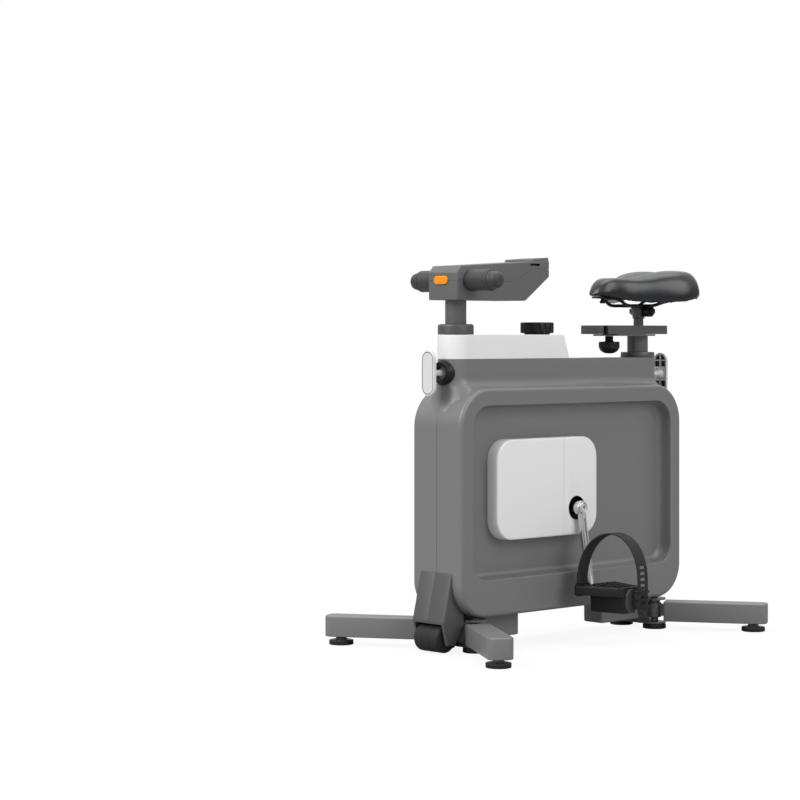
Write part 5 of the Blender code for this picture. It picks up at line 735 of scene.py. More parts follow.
def pull_knob(materials, name, body, end, face, pin, tip):
    """A pill-shaped pull: a rimmed plate, pockets behind it and the stem of its pin."""
    back = face - end * 6
    corner = (face, -PULL_HALF_WIDTH, pin - PULL_HALF_HEIGHT)
    plate = add_box(name + "_plate", corner, (back, PULL_HALF_WIDTH, pin + PULL_HALF_HEIGHT))
    edit(plate)
    round_edges(plate, runs("X"), PULL_HALF_WIDTH - 0.1, 20)
    round_edges(plate, lambda a, b: abs(a.x - face) < 0.1 and abs(b.x - face) < 0.1, 1.7, 4)
    pick_faces(plate, lambda c, n: n.x * end > 0.99 and abs(c.x - face) < 0.1)
    for inward, rise in ((1.2, 0), (0.3, -0.5), (0.6, -0.1), (0.5, 0.5), (0.6, 0)):
        inset(inward, rise)
    leave(plate)
    floor = back + end * 4
    cut(plate, pull_pockets(back - end, floor, pin))
    stem = [(11.5, back + end * 0.5), (11.5, back - end * 1.5), (9.4, back - end * 4.5)]
    stem += [(7.0, back - end * 8.5), (6.2, back - end * 10.5)]
    stem += [(6.2, tip + end * 8), (4.0, tip + end * 7), (4.0, tip + end), (3.0, tip)]
    fuse(plate, turn("stem", "X", (0, pin), stem, 48))
    # Painted shade: the floors of the pockets are given black plastic, so that they look shadowed.
    paint(plate, materials, "black_plastic", lambda c, n: abs(c.x - floor) < 0.05 and n.x * end < -0.9)
    # Painted shade: the groove round the face is given the darker roller grey.
    paint(plate, materials, "roller_grey", lambda c, n: on_shaded_groove(c, face, pin))
    # The pull is given a darker copy of the white plastic: painted shade on its lit front.
    finish_piece(plate, materials, "white_plastic", body, [name], shade="shaded_white")


def post_with_keyway(name, axis_x, radius, low, high, end, pin):
    """A post with a keyway and a row of stop holes on its outer side."""
    profile = [(radius - 1, low), (radius, low + 1), (radius, high)]
    post = turn(name, "Z", (axis_x, 0), profile, 72)
    skin = axis_x + end * radius
    cut(post, add_box("keyway", (skin - end * 2, -4.7, pin - 158), (skin + end * 4, 4.7, pin + 8)))
    for index in range(STOP_COUNT):
        place = (0, pin - STOP_PITCH * index)
        cut(post, add_cylinder("stop_hole", "X", place, 4.3, skin - end * 8, skin - end, 20))
    return post


# Handlebar
def handlebar_post(materials):
    post = post_with_keyway("handlebar_post_tube", FRONT_POST, 21, 354.6, 722, -1, FRONT_PIN_Z)
    ends = [(11.5, -115), (13, -113.5), (13, 113.5), (11.5, 115)]
    fuse(post, turn("cross_tube", "Y", (HANDLE_X, HANDLE_Z), ends, 48))
    finish_piece(post, materials, "black_metal", "handlebar", ["handlebar_post"])


def handlebar_block():
    """The housing before it is parted: a box cut to its slopes, with a raised pad behind."""
    unit = add_box("handlebar_block", (-313, -40, 689.6), (-50, 40, 790))
    slice_off(unit, (-119, 0, 689.6), (48.9, 0, -69))
    slice_off(unit, (-313, 0, 743.7), (-13.3, 0, 11))
    slice_off(unit, (-302, 0, 757), (-12, 0, 201))
    soften(unit, 2.2, 4, 10)
    pad = add_box("pad", (-99, -38.6, 757), (-51.2, 38.6, 790))
    slice_off(pad, (-99, 0, 774), (-4, 0, 49))
    slice_off(pad, (-99, 0, 771.5), (-6, 0, 2))
    fuse(unit, soften(pad, 1.2, 3, 10))
    for side in (-1, 1):
        slot = rounded_box("slot", (-106, side * 34, 760.2), (-78, side * 45, 764.8), (runs("Y"), 2.1, 4))
        cut(unit, slot)
    return cut(unit, button_block("button_well", -330, -304.6, 0.6))


def seam_sheet():
    """A thin bent sheet along the parting line of the housing."""
    points = [(-340, 728)]
    for step in range(13):
        share = step / 12
        points.append((-160 + 68 * share, 728 + 26 * (3 * share**2 - 2 * share**3)))
    points.append((-30, 754))
    sheet = add_box("seam_sheet", (-341, -50, 727.8), (-340, 50, 728.2))
    edit(sheet)
    pick_faces(sheet, lambda c, n: n.x > 0.9)
    for (x, z), (next_x, next_z) in zip(points, points[1:]):
        draw_out(Vector((next_x - x, 0, next_z - z)) * MM)
    tidy_mesh()
    return leave(sheet)


def handlebar_shells(materials):
    """The housing parted at its seam into the lower and the upper shell."""
    hold(cut(handlebar_block(), seam_sheet()))
    bpy.ops.object.mode_set(mode="EDIT")
    bpy.ops.mesh.separate(type="LOOSE")
    bpy.ops.object.mode_set(mode="OBJECT")
    parts = sorted(bpy.context.selected_objects, key=lambda part: -len(part.data.vertices))
    for scrap in parts[2:]:
        bpy.data.objects.remove(scrap)
    halves = sorted(parts[:2], key=lambda half: max(v.co.z for v in half.data.vertices))
    for half, name in zip(halves, ("handlebar_lower_shell", "handlebar_upper_shell")):
        half.name = name + "_skin"
        in_slot = lambda c, n: -106.5 < c.x < -77.5 and 759.8 < c.z < 765.2 and abs(c.y) < 39.8
        paint(half, materials, "black_plastic", in_slot)
        in_well = lambda c, n: -312.8 < c.x < -304 and -17 < c.y < 23 and 719 < c.z < 738
        paint(half, materials, "black_plastic", in_well)
        finish_piece(half, materials, "dark_plastic", "handlebar", [name], shade="housing_grey")


def button_block(name, front, back, grow):
    return rounded_box(
        name, (front, -15.6 - grow, 720.2 - grow), (back, 22 + grow, 737 + grow),
        (runs("X"), 8.3 + grow, 14),
    )


def release_button(materials):
    button = button_block("release_button_cap", -317, -308, 0)
    edit(button)
    round_edges(button, below("x", -316.9), 1.8, 4)
    leave(button)
    finish_piece(button, materials, "orange_plastic", "button", ["release_button"])


def grips(materials):
    """A sleeve that steps down to a narrower, rounded tip."""
    profile = [(17.0, 40.4), (20.6, 40.4), (21.5, 41.3), (21.5, 92.0), (20.8, 92.4), (20.8, 93.2)]
    profile += [(21.5, 93.6), (21.5, 96.2), (21.0, 97.4), (19.6, 98.2), (18.0, 98.8), (17.2, 100.2)]
    profile += [(17.0, 102.0), (17.0, 108.5), (16.6, 112.0), (15.4, 115.4), (13.2, 118.0), (10.0, 119.9)]
    profile += [(5.5, 120.8), (1.0, 121.0)]
    first = turn("right_grip_sleeve", "Y", (HANDLE_X, HANDLE_Z), profile, 64)
    second = mirrored(first, "left_grip_sleeve", (1, -1, 1))
    # The grips are given a lighter copy of the rubber: a painted highlight.
    finish_piece(first, materials, "rubber", "handlebar", ["right_grip"], shade="lit_rubber")
    finish_piece(second, materials, "rubber", "handlebar", ["left_grip"], shade="lit_rubber")


def in_flute(centre, axis_x, sides, count, wide):
    """True for the side faces that a row of flutes takes in."""
    share = (math.atan2(centre.y, centre.x - axis_x) / (2 * math.pi)) % 1
    return int(share * sides + 0.001) % (sides // count) < wide


def press_flutes(knob, axis_x, sides, count, wide, low, high, depth):
    edit(knob)
    on_side = lambda c, n: abs(n.z) < 0.2 and low < c.z < high and math.hypot(c.x - axis_x, c.y) > 20
    pick_faces(knob, lambda c, n: on_side(c, n) and in_flute(c, axis_x, sides, count, wide))
    bpy.ops.mesh.extrude_region_shrink_fatten(TRANSFORM_OT_shrink_fatten={"value": -depth * MM})
    leave(knob)
    soften(knob, 0.35, 2, 35)


def dial(materials):
    """The fluted dial on its neck, with a pointer on top."""
    profile = [(26.0, 621.95), (26.0, 624.4), (32.6, 624.9), (34.0, 626.2), (34.0, 644.6), (33.4, 646.0)]
    profile += [(32.2, 646.9), (27.0, 646.9), (26.2, 646.1), (25.0, 646.1), (2.0, 646.1)]
    knob = turn("resistance_dial_knob", "Z", (DIAL_X, 0), profile, 96)
    press_flutes(knob, DIAL_X, 96, 16, 2, 627, 644, 1.4)
    pointer = add_box("pointer", (-68, -1.6, 645.5), (-52, 1.6, 646.9))
    fuse(knob, soften(pointer, 0.5, 2, 40))
    finish_piece(knob, materials, "black_plastic", "dial", ["resistance_dial"])


# Legs, feet and roller
def leg():
    """A flat box tube with rounded end corners, joined to the barrel that turns on the pivot."""
    arm = rounded_box(
        "leg", (22, -25, 17), (238, 25, 58.5),
        (lambda a, b: along("Z", a, b) and a.x > 200, 15, 12),
        (lambda a, b: along("Z", a, b) and a.x < 30, 4, 4),
        (above("z", 58.4), 2.4, 4),
        (below("z", 17.1), 2.4, 4),
    )
    fuse(arm, add_box("neck", (4, -6, 26.5), (26, 6, 51.5)))
    profile = [(8.5, 14.9), (8.5, 22.8), (14.2, 24), (15, 24.8), (15, 53.8), (14.2, 54.5)]
    profile += [(12, 55.2), (12, 60.6)]
    fuse(arm, turn("barrel", "Z", (0, 0), profile, 48))
    edit(arm)
    choose_all()
    turn_by = math.radians(90 + LEG_ANGLE)
    bpy.ops.transform.rotate(value=turn_by, orient_axis="Z", center_override=(0, 0, 0))
    bpy.ops.transform.translate(value=Vector((-LEG_X, -LEG_Y, 0)) * MM)
    return leave(arm)


def legs(materials):
    """One swing-out leg is made and the three others are flipped copies of it."""
    first = leg()
    for end, end_name in ((-1, "front"), (1, "rear")):
        for side, side_name in ((-1, "left"), (1, "right")):
            name = f"{end_name}_{side_name}_leg"
            arm = mirrored(first, name + "_arm", (-end, -side, 1))
            pivot = Vector((end * LEG_X, side * LEG_Y))
            paint(arm, materials, "black_metal", lambda c, n: (c.xy - pivot).length < 16.2)
            finish_piece(arm, materials, "leg_grey", name + "_body", [name])
    bpy.data.objects.remove(first)


def feet(materials):
    """Rubber-soled levelling feet under the leg ends and under the pivots."""
    sole = [(22.8, 0), (24.1, 0.5), (24.5, 1.5), (24.5, 4.4), (23.8, 4.8), (23.8, 5.3)]
    sole += [(24.5, 5.7), (24.5, 8.0), (23.9, 9.0), (22.6, 9.5), (12.0, 9.8)]
    outer = sole + [(11.4, 10.2), (11.4, 13.2), (10.8, 13.8), (7.0, 13.8)]
    outer += [(7.0, 16.8), (4.0, 16.8), (4.0, 31.5), (3.2, 32)]
    inner = sole + [(8.0, 10.4), (5.0, 10.4), (5.0, 64.9), (8.0, 64.9), (8.0, 66.9), (7.2, 67.6)]
    angle = math.radians(LEG_ANGLE)
    reach = (-LEG_X - LEG_REACH * math.sin(angle), -LEG_Y - LEG_REACH * math.cos(angle))
    first = turn("foot", "Z", reach, outer, 48)
    second = turn("pivot_foot", "Z", (-LEG_X, -LEG_Y), inner, 48)
    for end, end_name in ((-1, "front"), (1, "rear")):
        for side, side_name in ((-1, "left"), (1, "right")):
            name = f"{end_name}_{side_name}"
            rows = ((first, "_leg_foot", name + "_foot_body"), (second, "_pivot_foot", "frame"))
            for pattern, node, body in rows:
                foot = mirrored(pattern, name + node + "_sole", (-end, -side, 1))
                paint(foot, materials, "black_metal", lambda c, n: c.z > 9.6)
                finish_piece(foot, materials, "rubber", body, [name + node])
    bpy.data.objects.remove(first)
    bpy.data.objects.remove(second)


def roller_housings(materials):
    """The wedge round the transport roller, open below and in front, parted in the middle."""
    whole = add_box("housing", (-354, -44, 17.3), (-296, 44, 158))
    slice_off(whole, (-354, 0, 63), (-95, 0, 22.6))
    slice_off(whole, (-354, 0, 63), (-39.5, 0, -10))
    slice_off(whole, (-322, 0, 17.3), (27.7, 0, -26))
    soften(whole, 3.2, 5, 20)
    mouth = add_box("mouth", (-380, -37, -10), (-335, 37, 59.5))
    fuse(mouth, add_cylinder("room", "Y", ROLLER, 30.0, -37, 37, 64))
    cut(whole, mouth)
    names = ("roller_housing_left", "roller_housing_right")
    for half, name in seam_halves(whole, names, 0.15, 0.35):
        finish_piece(half, materials, "body_grey", "frame", [name], shade="roller_grey")


def roller(materials):
    profile = [(6, -33), (21.5, -33), (23.8, -32.6), (25.9, -31.2), (26.8, -29.2), (27, -27), (27, -10.4)]
    profile += [(26.5, -10), (26.5, -9), (27, -8.6), (27, 8.6), (26.5, 9), (26.5, 10), (27, 10.4), (27, 27)]
    profile += [(26.8, 29.2), (25.9, 31.2), (23.8, 32.6), (21.5, 33), (6, 33)]
    wheel = turn("transport_roller_wheel", "Y", ROLLER, profile, 64, True)
    finish_piece(wheel, materials, "rubber", "roller", ["transport_roller"])


# Seat
def seat_post(materials):
    post = post_with_keyway("seat_post_tube", REAR_POST, 22, 344.6, 620.5, 1, REAR_PIN_Z)
    plate = rounded_box("slide_plate", (161, -37.5, 619), (290, 37.5, 622.5), (runs("Z"), 12, 8))
    soften(plate, 0.6, 2, 40)
    neck = add_box("rail_neck", (165, -8, 622), (286, 8, 626))
    head = add_box("rail_head", (165, -14.7, 625.5), (286, 14.7, 629.7))
    fuse(post, plate, neck, head)
    finish_piece(post, materials, "black_metal", "seat_mast", ["seat_post"])


def slider_half(front, rear, half, front_corner, rear_corner):
    """One length of the slide block, with its own corner radii in front and behind."""
    return rounded_box(
        "slider_part", (front, -half, 622.8), (rear, half, 641.2),
        (lambda a, b: along("Z", a, b) and a.x < front + 1, front_corner, 12),
        (lambda a, b: along("Z", a, b) and a.x > rear - 1, rear_corner, 6),
        (above("z", 641), 1.2, 4),
        (below("z", 623), 0.8, 2),
    )


def slider(materials):
    """The slide block: a rounded end cap, a sunk joint and the long body, hollowed for the rail."""
    block = slider_half(130.4, 323, 37.5, 1.4, 3)
    cap = slider_half(113.6, 128.2, 29.5, 12.8, 1.4)
    core = soften(add_box("joint", (122, -27, 623.6), (140, 27, 640.0)), 0.5, 2, 40)
    fuse(block, core, cap)
    cut(block, add_box("neck_slot", (133, -8.3, 620), (330, 8.3, 626.6)))
    cut(block, add_box("head_slot", (133, -15, 625.2), (330, 15, 630)))
    cut(block, add_cylinder("pin_hole", "Z", (CLAMP_X, 0), 10.8, 634.3, 650, 48))
    # Painted shade: the faces round the joint and the body's front face beside the cap are given black
    # plastic, as if in shadow.
    paint(block, materials, "black_plastic", lambda c, n: 128 < c.x < 131.5 and abs(n.z) < 0.9)
    finish_piece(block, materials, "dark_plastic", "seat_slider", ["slider_block"])


def slider_knob(materials):
    profile = [(2, 582), (7, 582.3), (12, 583.8), (16, 586.2), (19, 589.4), (21, 593), (22, 595.4)]
    profile += [(22, 604.6), (21.4, 606.2), (20, 607), (11, 607.2), (9, 608), (8.5, 609.4), (8.5, 618.8)]
    knob = turn("slider_knob_body", "Z", (KNOB_X, 0), profile, 72)
    press_flutes(knob, KNOB_X, 72, 12, 2, 596, 604, 1.2)
    finish_piece(knob, materials, "black_plastic", "slider_lock", ["slider_knob"])


def saddle_clamp(materials):
    """The seat pin, the clamp's flared body and the discs that grip the rails, with their cross bolt."""
    profile = [(10.5, 634.6), (10.5, 655.6), (12.2, 656.2), (12.8, 657.2), (13.6, 666)]
    profile += [(15.6, 675), (15.8, 681), (15, 682.4), (3, 682.4)]
    clamp = turn("saddle_clamp_body", "Z", (CLAMP_X, 0), profile, 48)
    centre = (CLAMP_X, 671.5)
    inner = [(11.4, 11), (12, 11.8), (12, 17.4), (11.4, 18.2)]
    middle = [(9, 17.5), (9, 26.5)]
    outer = [(11.4, 25.8), (12, 26.6), (12, 34.6), (10.8, 35.8)]
    nut = [(7.5, 35), (7.5, 41), (6.6, 41.8)]
    bolt = [(4, 10), (4, 43.4), (3.4, 44)]
    for rows, sides in ((inner, 36), (middle, 36), (outer, 36), (nut, 6), (bolt, 24)):
        fuse(clamp, turn("clamp_part", "Y", centre, [(radius, -y) for radius, y in rows], sides))
    head = [(7.5, 10), (7.5, 20), (6.6, 20.8)]
    fuse(clamp, turn("bolt_head", "Y", centre, head, 6))
    paint(clamp, materials, "black_plastic", lambda c, n: c.y < -17.6)
    finish_piece(clamp, materials, "black_metal", "seat_slider", ["saddle_clamp"])


def saddle_rails(materials):
    """One bent wire: a curve with a round section, made a mesh."""
    half = [(352, 42, 697.9), (338, 38, 695.6), (316, 28, 690), (298, 22.6, 684.6), (271, 22, 683.2)]
    half += [(235, 22.2, 683.2), (212, 22.6, 683.4), (202, 22.6, 686), (191, 21.6, 692.4), (181, 18, 696.8)]
    half += [(173, 10, 698.2)]
    points = half + [(170, 0, 698.4)] + [(x, -y, z) for x, y, z in half[::-1]]
    curve = bpy.data.curves.new("saddle_rail_wire", "CURVE")
    curve.dimensions = "3D"
    curve.bevel_depth = 3.5 * MM
    curve.bevel_resolution = 5
    curve.use_fill_caps = True
    curve.resolution_u = 6
    line = curve.splines.new("BEZIER")
    line.bezier_points.add(len(points) - 1)
    for knot, point in zip(line.bezier_points, points):
        knot.co = Vector(point) * MM
        knot.handle_left_type = knot.handle_right_type = "AUTO"
    wire = bpy.data.objects.new("saddle_rail_wire", curve)
    bpy.context.scene.collection.objects.link(wire)
    hold(wire)
    bpy.ops.object.convert(target="MESH")
    wire = bpy.context.object
    edit(wire)
    tidy_mesh()
    leave(wire)
    finish_piece(wire, materials, "black_metal", "saddle", ["saddle_rails"], shade="black_plastic")


def saddle_pad(frame, materials):
    """The padded seat: its solid form remeshed, puffed up as a skin and smoothed."""
    pad = bpy.data.objects.new("saddle_pad", frame["nodes"]["saddle_cushion"].data.copy())
    bpy.context.scene.collection.objects.link(pad)
    pad.data.materials.clear()
    edit(pad)
    tidy_mesh()
    leave(pad)
    apply_modifier(pad, "REMESH", mode="VOXEL", voxel_size=3.4 * MM)
    puff(pad, 4.0, 1.0)
    slope_nose(pad)
    apply_modifier(pad, "SMOOTH", factor=0.5, iterations=30)
    apply_modifier(pad, "SUBSURF", levels=1, render_levels=1)
    finish_piece(pad, materials, "leatherette", "saddle", ["saddle_cushion"], math.radians(70))


def slope_nose(pad):
    """Lowers and narrows the nose towards its tip, so that it ends round."""
    for vertex in pad.data.vertices:
        x, z = vertex.co.x / MM, vertex.co.z / MM
        near_tip = min(1, max(0, (172 - x) / 52))
        height = min(1, max(0, (z - 700) / 30))
        vertex.co.z -= 9 * MM * near_tip**2 * height
        vertex.co.y *= 1 - 0.12 * near_tip**2 - 0.14 * near_tip * height


def saddle_pan(frame, materials):
    """The plastic pan under the pad, without its socket, and the bolt under the nose."""
    pan = bpy.data.objects.new("saddle_pan", frame["nodes"]["saddle_base"].data.copy())
    bpy.context.scene.collection.objects.link(pan)
    pan.data.materials.clear()
    slice_off(pan, (0, 0, 702.4), (0, 0, -1))
    edit(pan)
    choose_all()
    bpy.ops.transform.resize(value=(1.07, 1.1, 1), center_override=Vector((CLAMP_X, 0, 0)) * MM)
    bpy.ops.transform.translate(value=(0, 0, -4.6 * MM))
    tidy_mesh()
    leave(pan)
    bolt = [(3.4, 699), (3.4, 694), (5.6, 693.4), (5.6, 688.4), (4.6, 687.2)]
    merge_into(pan, turn("nose_bolt", "Z", (156, 0), bolt, 24))
    finish_piece(pan, materials, "black_plastic", "saddle", ["saddle_base"])


def puff(pad, pressure, cap):
    """Swells the pad as cloth under pressure, and lets its top move by the cap at most."""
    home = [vertex.co.copy() for vertex in pad.data.vertices]
    hold(pad)
    modifier = pad.modifiers.new("puff", "CLOTH")
    modifier.settings.use_pressure = True
    modifier.settings.uniform_pressure_force = pressure
    modifier.settings.effector_weights.gravity = 0
    scene = bpy.context.scene
    for number in range(1, 21):
        scene.frame_set(number)
    bpy.ops.object.modifier_apply(modifier=modifier.name)
    scene.frame_set(1)
    for vertex, start in zip(pad.data.vertices, home):
        step = vertex.co - start
        share = min(1, max(0, (start.z / MM - 700) / 25))
        limit = cap * MM * share
        if step.length > limit:
            vertex.co = start + step.normalized() * limit


# Cranks and pedals
def crank():
    """The left crank: a tapered, grooved arm between the axle hub and the pedal eye."""
    arm = add_box("crank_arm", (-9.5, -86, PEDAL_Z), (9.5, -75, CRANK_Z))
    edit(arm)
    pick_points(arm, lambda p: p.z < 150)
    foot = Vector((0, -80.5, PEDAL_Z)) * MM
    bpy.ops.transform.resize(value=(16 / 19, 9.5 / 11, 1), center_override=foot)
    bpy.ops.transform.translate(value=Vector((PEDAL_X, -17.75, 0)) * MM)
    round_edges(arm, lambda a, b: abs(a.z - b.z) > 100, 3.2, 5)
    leave(arm)
    groove = add_box("groove", (-2.7, -92, PEDAL_Z), (2.7, -84.2, CRANK_Z))
    edit(groove)
    shift_points(groove, lambda p: p.z < 150, (PEDAL_X, -17, 0))
    leave(groove)
    slice_off(groove, (0, 0, 250), (0, 0, 1))
    slice_off(groove, (0, 0, 118), (0, 0, -1))
    cut(arm, groove)
    soften(arm, 0.4, 2, 40)
    hub = [(13.6, -61), (14.8, -62), (14.8, -84.6), (14.2, -85.7), (13.2, -86), (2, -86)]
    eye = [(11.6, -91), (12.5, -91.9), (12.5, -101.6), (11.9, -102.7), (10.9, -103), (2, -103)]
    return fuse(arm, turn("hub", "Y", (0, CRANK_Z), hub, 56), turn("eye", "Y", (PEDAL_X, PEDAL_Z), eye, 48))


def crank_bolt():
    profile = [(9.0, -80), (9.0, -86.1), (11.5, -86.1), (11.5, -88.3), (10.7, -89.2), (9.0, -89.3)]
    profile += [(8.6, -88.7), (7.9, -88.7), (7.5, -89.2), (5.2, -89.2), (4.6, -88.6)]
    profile += [(4.6, -84.5), (0.5, -84.5)]
    return turn("crank_bolt", "Y", (0, CRANK_Z), profile, 48)


def cranks(materials):
    """The left crank and its bolt, and the right ones turned half round and flipped."""
    point = (0, 0, 2 * CRANK_Z)
    for label, first, node in (("arm", crank(), "crank"), ("cap", crank_bolt(), "crank_bolt")):
        other = mirrored(first, f"right_{node}_{label}", (-1, -1, -1), point)
        first.name = f"left_{node}_{label}"
        for piece, side in ((first, "left"), (other, "right")):
            finish_piece(piece, materials, "bright_metal", "crank", [f"{side}_{node}"])


def tapered_block(name, near, far, half_near, half_far, low, high):
    """A block on the left side, between two distances from the bike's middle, that narrows outwards."""
    low_corner = (PEDAL_X - half_near, -far, PEDAL_Z + low)
    block = add_box(name, low_corner, (PEDAL_X + half_near, -near, PEDAL_Z + high))
    edit(block)
    pick_points(block, lambda p: p.y < -(near + far) / 2)
    centre = Vector((PEDAL_X, 0, 0)) * MM
    bpy.ops.transform.resize(value=(half_far / half_near, 1, 1), center_override=centre)
    return leave(block)


def pedal():
    """The left pedal: platform, block below it, end cap, treads, strap root and strap buckle."""
    platform = tapered_block("platform", 103.6, 202.5, 63, 30, -0.5, 18)
    edit(platform)
    round_edges(platform, lambda a, b: abs(a.z - b.z) > 10, 9, 8)
    round_edges(platform, above("z", PEDAL_Z + 17.9), 2.2, 4)
    pick_faces(platform, lambda c, n: n.z > 0.999 and c.z > PEDAL_Z + 17)
    inset(2.5)
    inset(0.8, -1.2)
    leave(platform)
    block = tapered_block("block", 125, 203, 36, 17, -34.5, 6)
    edit(block)
    round_edges(block, lambda a, b: abs(a.z - b.z) > 10, 5, 5)
    round_edges(block, below("z", PEDAL_Z - 34), 2.5, 4)
    leave(block)
    fuse(platform, block, treads(), end_cap())
    return merge_into(platform, strap_root(), *buckle())


def treads():
    """Rows of short raised pads for the platform."""
    bars = []
    for row in range(6):
        y = 114 + row * 13.6
        half = 60 - 31 * (y - 103.6) / 93.4 - 12
        count = max(2, int(2 * half // 13))
        for index in range(count):
            x = PEDAL_X - half + (index + 0.5) * 2 * half / count
            bar = add_box("tread", (x - 4.4, -y - 3, PEDAL_Z + 14), (x + 4.4, -y + 3, PEDAL_Z + 18.8))
            edit(bar)
            round_edges(bar, above("z", PEDAL_Z + 18), 1.0, 2)
            bars.append(leave(bar))
    return merge_into(bars[0], *bars[1:])


def end_cap():
    """The pill-shaped cap on the outer end, with a sunk middle."""
    cap = add_box("cap", (PEDAL_X - 15.5, -206, PEDAL_Z - 33), (PEDAL_X + 15.5, -188, PEDAL_Z + 14.5))
    edit(cap)
    round_edges(cap, runs("Y"), 15.4, 14)
    round_edges(cap, below("y", -205.9), 1.6, 4)
    pick_faces(cap, lambda c, n: n.y < -0.99 and c.y < -205.9)
    inset(1.4)
    inset(0.7, -1.0)
    return leave(cap)


def strap_root():
    """The lug that holds the strap's inner end."""
    x = STRAP_INNER_X
    return rounded_box(
        "root", (x - 17.6, -111.4, PEDAL_Z - 3.6), (x + 17.6, -104.4, PEDAL_Z + 22.4),
        (runs("Y"), 4, 5),
    )


def buckle():
    """The frames that lead the strap down the outer end, and the bridge that carries them."""
    x = PEDAL_X + 18.6
    parts = []
    for rise in (6, -9, -24):
        low = PEDAL_Z + rise
        frame = add_box("frame", (x - 18.4, -221, low), (x + 18.4, -213, low + 4.5))
        cut(frame, add_box("gap", (x - 15.4, -219.6, low - 5), (x + 15.4, -215.8, low + 9)))
        parts.append(soften(frame, 0.7, 2, 40))
    bridge = add_box("bridge", (x - 12, -215.4, PEDAL_Z - 26), (x + 8, -192, PEDAL_Z + 11))
    edit(bridge)
    round_edges(bridge, runs("Y"), 4, 4)
    parts.append(leave(bridge))
    return parts


def strap_points():
    """The left strap's centre line, from its root over the arch and down the outer end."""
    base = PEDAL_Z + 18
    half, middle, steps = (218 - 107) / 2, (218 + 107) / 2, 40
    points = [(STRAP_INNER_X, -107, base - 10), (STRAP_INNER_X, -107, base + 2)]
    for index in range(1, steps):
        angle = math.pi * index / steps
        x = STRAP_INNER_X + 57 * ((1 - math.cos(angle)) / 2) ** 0.8
        points.append((x, -middle + half * math.cos(angle), base + 4 + 101 * math.sin(angle) ** 0.85))
    for z in (base + 4, PEDAL_Z - 10, PEDAL_Z - 33):
        points.append((STRAP_OUTER_X, -218, z))
    return [Vector(point) * MM for point in points]


def strap():
    """The left strap: a ribbon drawn along its arch, given its thickness and its row of slots."""
    places = strap_points()
    clear_selection()
    bpy.ops.mesh.primitive_plane_add(size=STRAP_WIDTH * MM, location=places[0])
    ribbon = settle("strap")
    edit(ribbon)
    pick_points(ribbon, lambda p: p.y > places[0].y / MM)
    bpy.ops.mesh.delete(type="VERT")
    pick_points(ribbon, lambda p: True)
    bpy.ops.transform.translate(value=(0, STRAP_WIDTH / 2 * MM, 0))
    for place, following in zip(places, places[1:]):
        draw_out(following - place)
    leave(ribbon)
    apply_modifier(ribbon, "SOLIDIFY", thickness=2.4 * MM, offset=0, use_even_offset=True)
    edit(ribbon)
    tidy_mesh()
    leave(ribbon)
    soften(ribbon, 0.5, 2, 50)
    x = STRAP_OUTER_X
    for index in range(STRAP_SLOTS):
        top = PEDAL_Z + 59.7 - index * SLOT_PITCH
        cut(ribbon, add_box("slot", (x - 7.6, -225, top - 5.8), (x + 7.6, -205, top)))
    x = STRAP_INNER_X
    return cut(ribbon, add_box("hole", (x - 1.6, -116, PEDAL_Z + 26), (x + 1.6, -100, PEDAL_Z + 34)))


def lit_end_cap(centre, normal):
    """True on the end cap of the left pedal, which is painted in the lighter rubber as a highlight."""
    return -206.1 < centre.y < -203.1 and abs(centre.x - PEDAL_X) < 15.6 and centre.z < PEDAL_Z + 14.6


def pedals(materials):
    step = (-2 * PEDAL_X, 0, 339.086)
    pairs = [("pedal_block", pedal(), "pedal", "black_plastic")]
    pairs += [("strap_band", strap(), "pedal_strap", "rubber")]
    for label, first, node, slot in pairs:
        if node == "pedal":
            # Painted highlight: the end cap faces the light and is given the lighter rubber.
            paint(first, materials, "lit_rubber", lit_end_cap)
        other = mirrored(first, "right_" + label, (1, -1, 1), step)
        first.name = "left_" + label
        for piece, side in ((first, "left"), (other, "right")):
            finish_piece(piece, materials, slot, side + "_pedal_body", [f"{side}_{node}"])


# Stage, light and camera
def make_camera():
    facing = (math.pi / 2, 0, math.radians(CAMERA_TURN))
    bpy.ops.object.camera_add(location=CAMERA_PLACE, rotation=facing)
    camera = bpy.context.object
    camera.data.lens = CAMERA_LENS
    camera.data.sensor_width = 36
    camera.data.shift_y = CAMERA_SHIFT
    bpy.context.scene.camera = camera


def seen_directly(tree):
    """1 where the camera sees the surface, straight or through glass."""
    path = add_node(tree, "ShaderNodeLightPath")
    return calculate(tree, "MAXIMUM", (path, "Is Camera Ray"), (path, "Is Transmission Ray"))


def make_world():
    """White to the camera, even for diffuse light and brighter overhead where it is mirrored."""
    world = bpy.data.worlds.new("studio")
    bpy.context.scene.world = world
    world.use_nodes = True
    tree = world.node_tree
    direction = add_node(tree, "ShaderNodeTexCoord")
    parts = add_node(tree, "ShaderNodeSeparateXYZ", {"Vector": (direction, "Generated")})
    limits = {"Value": (parts, "Z"), "From Min": -0.05, "From Max": 0.7, "To Min": 0.3, "To Max": 1.35}
    height = add_node(tree, "ShaderNodeMapRange", limits, interpolation_type="SMOOTHSTEP")
    path = add_node(tree, "ShaderNodeLightPath")
    choice = {0: (path, "Is Glossy Ray"), 2: 0.33, 3: (height, "Result")}
    level = add_node(tree, "ShaderNodeMix", choice, data_type="FLOAT")
    light = tree.nodes["Background"]
    feed(tree, light, "Color", (1, 1, 1, 1))
    feed(tree, light, "Strength", (level, 0))
    backdrop = add_node(tree, "ShaderNodeBackground", {"Color": (1, 1, 1, 1), "Strength": 1.0})
    shares = {"Fac": (seen_directly(tree), 0), 1: (light, 0), 2: (backdrop, 0)}
    mix = add_node(tree, "ShaderNodeMixShader", shares)
    feed(tree, tree.nodes["World Output"], "Surface", (mix, 0))


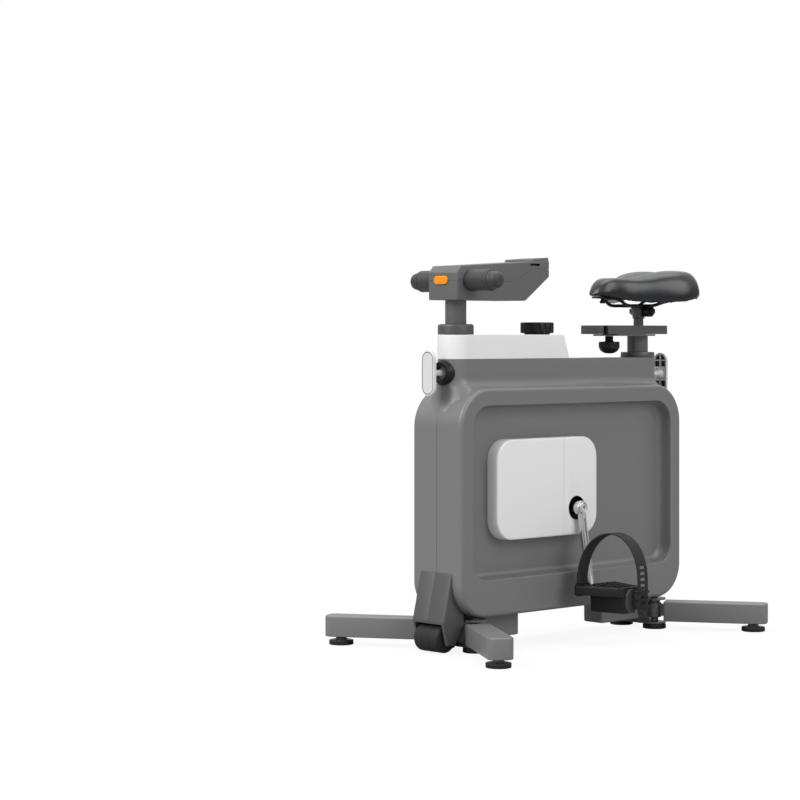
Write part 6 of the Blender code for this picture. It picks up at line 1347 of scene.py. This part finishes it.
def make_floor():
    clear_selection()
    bpy.ops.mesh.primitive_plane_add(size=30, location=(0, 0, 0))
    floor = settle("floor")
    material = bpy.data.materials.new("pale_floor")
    material.use_nodes = True
    tree = material.node_tree
    shader = tree.nodes["Principled BSDF"]
    feed(tree, shader, "Base Color", (0.45, 0.45, 0.45, 1))
    feed(tree, shader, "Roughness", 0.9)
    feed(tree, shader, "Specular IOR Level", 0.0)
    lit = add_node(tree, "ShaderNodeEmission", {"Color": (1, 1, 1, 1), "Strength": 1.13})
    share = calculate(tree, "MULTIPLY", (seen_directly(tree), 0), 0.8)
    mix = add_node(tree, "ShaderNodeMixShader", {"Fac": (share, 0), 1: (shader, 0), 2: (lit, 0)})
    feed(tree, tree.nodes["Material Output"], "Surface", (mix, 0))
    floor.data.materials.append(material)


def add_sun(name, direction, strength, spread):
    """A wide, soft sun from a direction, so that the floor is lit evenly as far as the horizon."""
    turn_to = Vector(direction).to_track_quat("Z", "Y").to_euler()
    bpy.ops.object.light_add(type="SUN", location=Vector(direction) * 4, rotation=turn_to)
    lamp = bpy.context.object
    lamp.name = name
    lamp.data.energy = strength
    lamp.data.angle = math.radians(spread)


def make_studio():
    make_world()
    make_floor()
    for name, values in SUNS.items():
        add_sun(name, *values)
    bpy.context.scene.view_settings.view_transform = "Standard"


def dress_kept_nodes(frame, materials):
    """Every node that is still shown gets the material of its slot."""
    slots = {row["node"]: row["material_slot"] for row in frame["record"]["subparts"]}
    for name, node in frame["nodes"].items():
        if not node.data.materials:
            node.data.materials.append(None)
        for index in range(len(node.data.materials)):
            node.data.materials[index] = materials[slots[name]]


def main():
    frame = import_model()
    materials = make_materials()
    dress_kept_nodes(frame, materials)
    for make in (body_shells, crank_covers, top_cover, collars, pin_boss):
        make(materials)
    pull_knob(materials, "front_pull_knob", "front_pin", -1, -354, FRONT_PIN_Z, -296.3)
    pull_knob(materials, "rear_pull_knob", "rear_pin", 1, 347, REAR_PIN_Z, 288.3)
    for make in (handlebar_post, handlebar_shells, release_button, grips, dial):
        make(materials)
    for make in (legs, feet, roller_housings, roller):
        make(materials)
    for make in (seat_post, slider, slider_knob, saddle_clamp, saddle_rails):
        make(materials)
    saddle_pan(frame, materials)
    saddle_pad(frame, materials)
    cranks(materials)
    pedals(materials)
    make_camera()
    make_studio()
    clear_selection()


main()
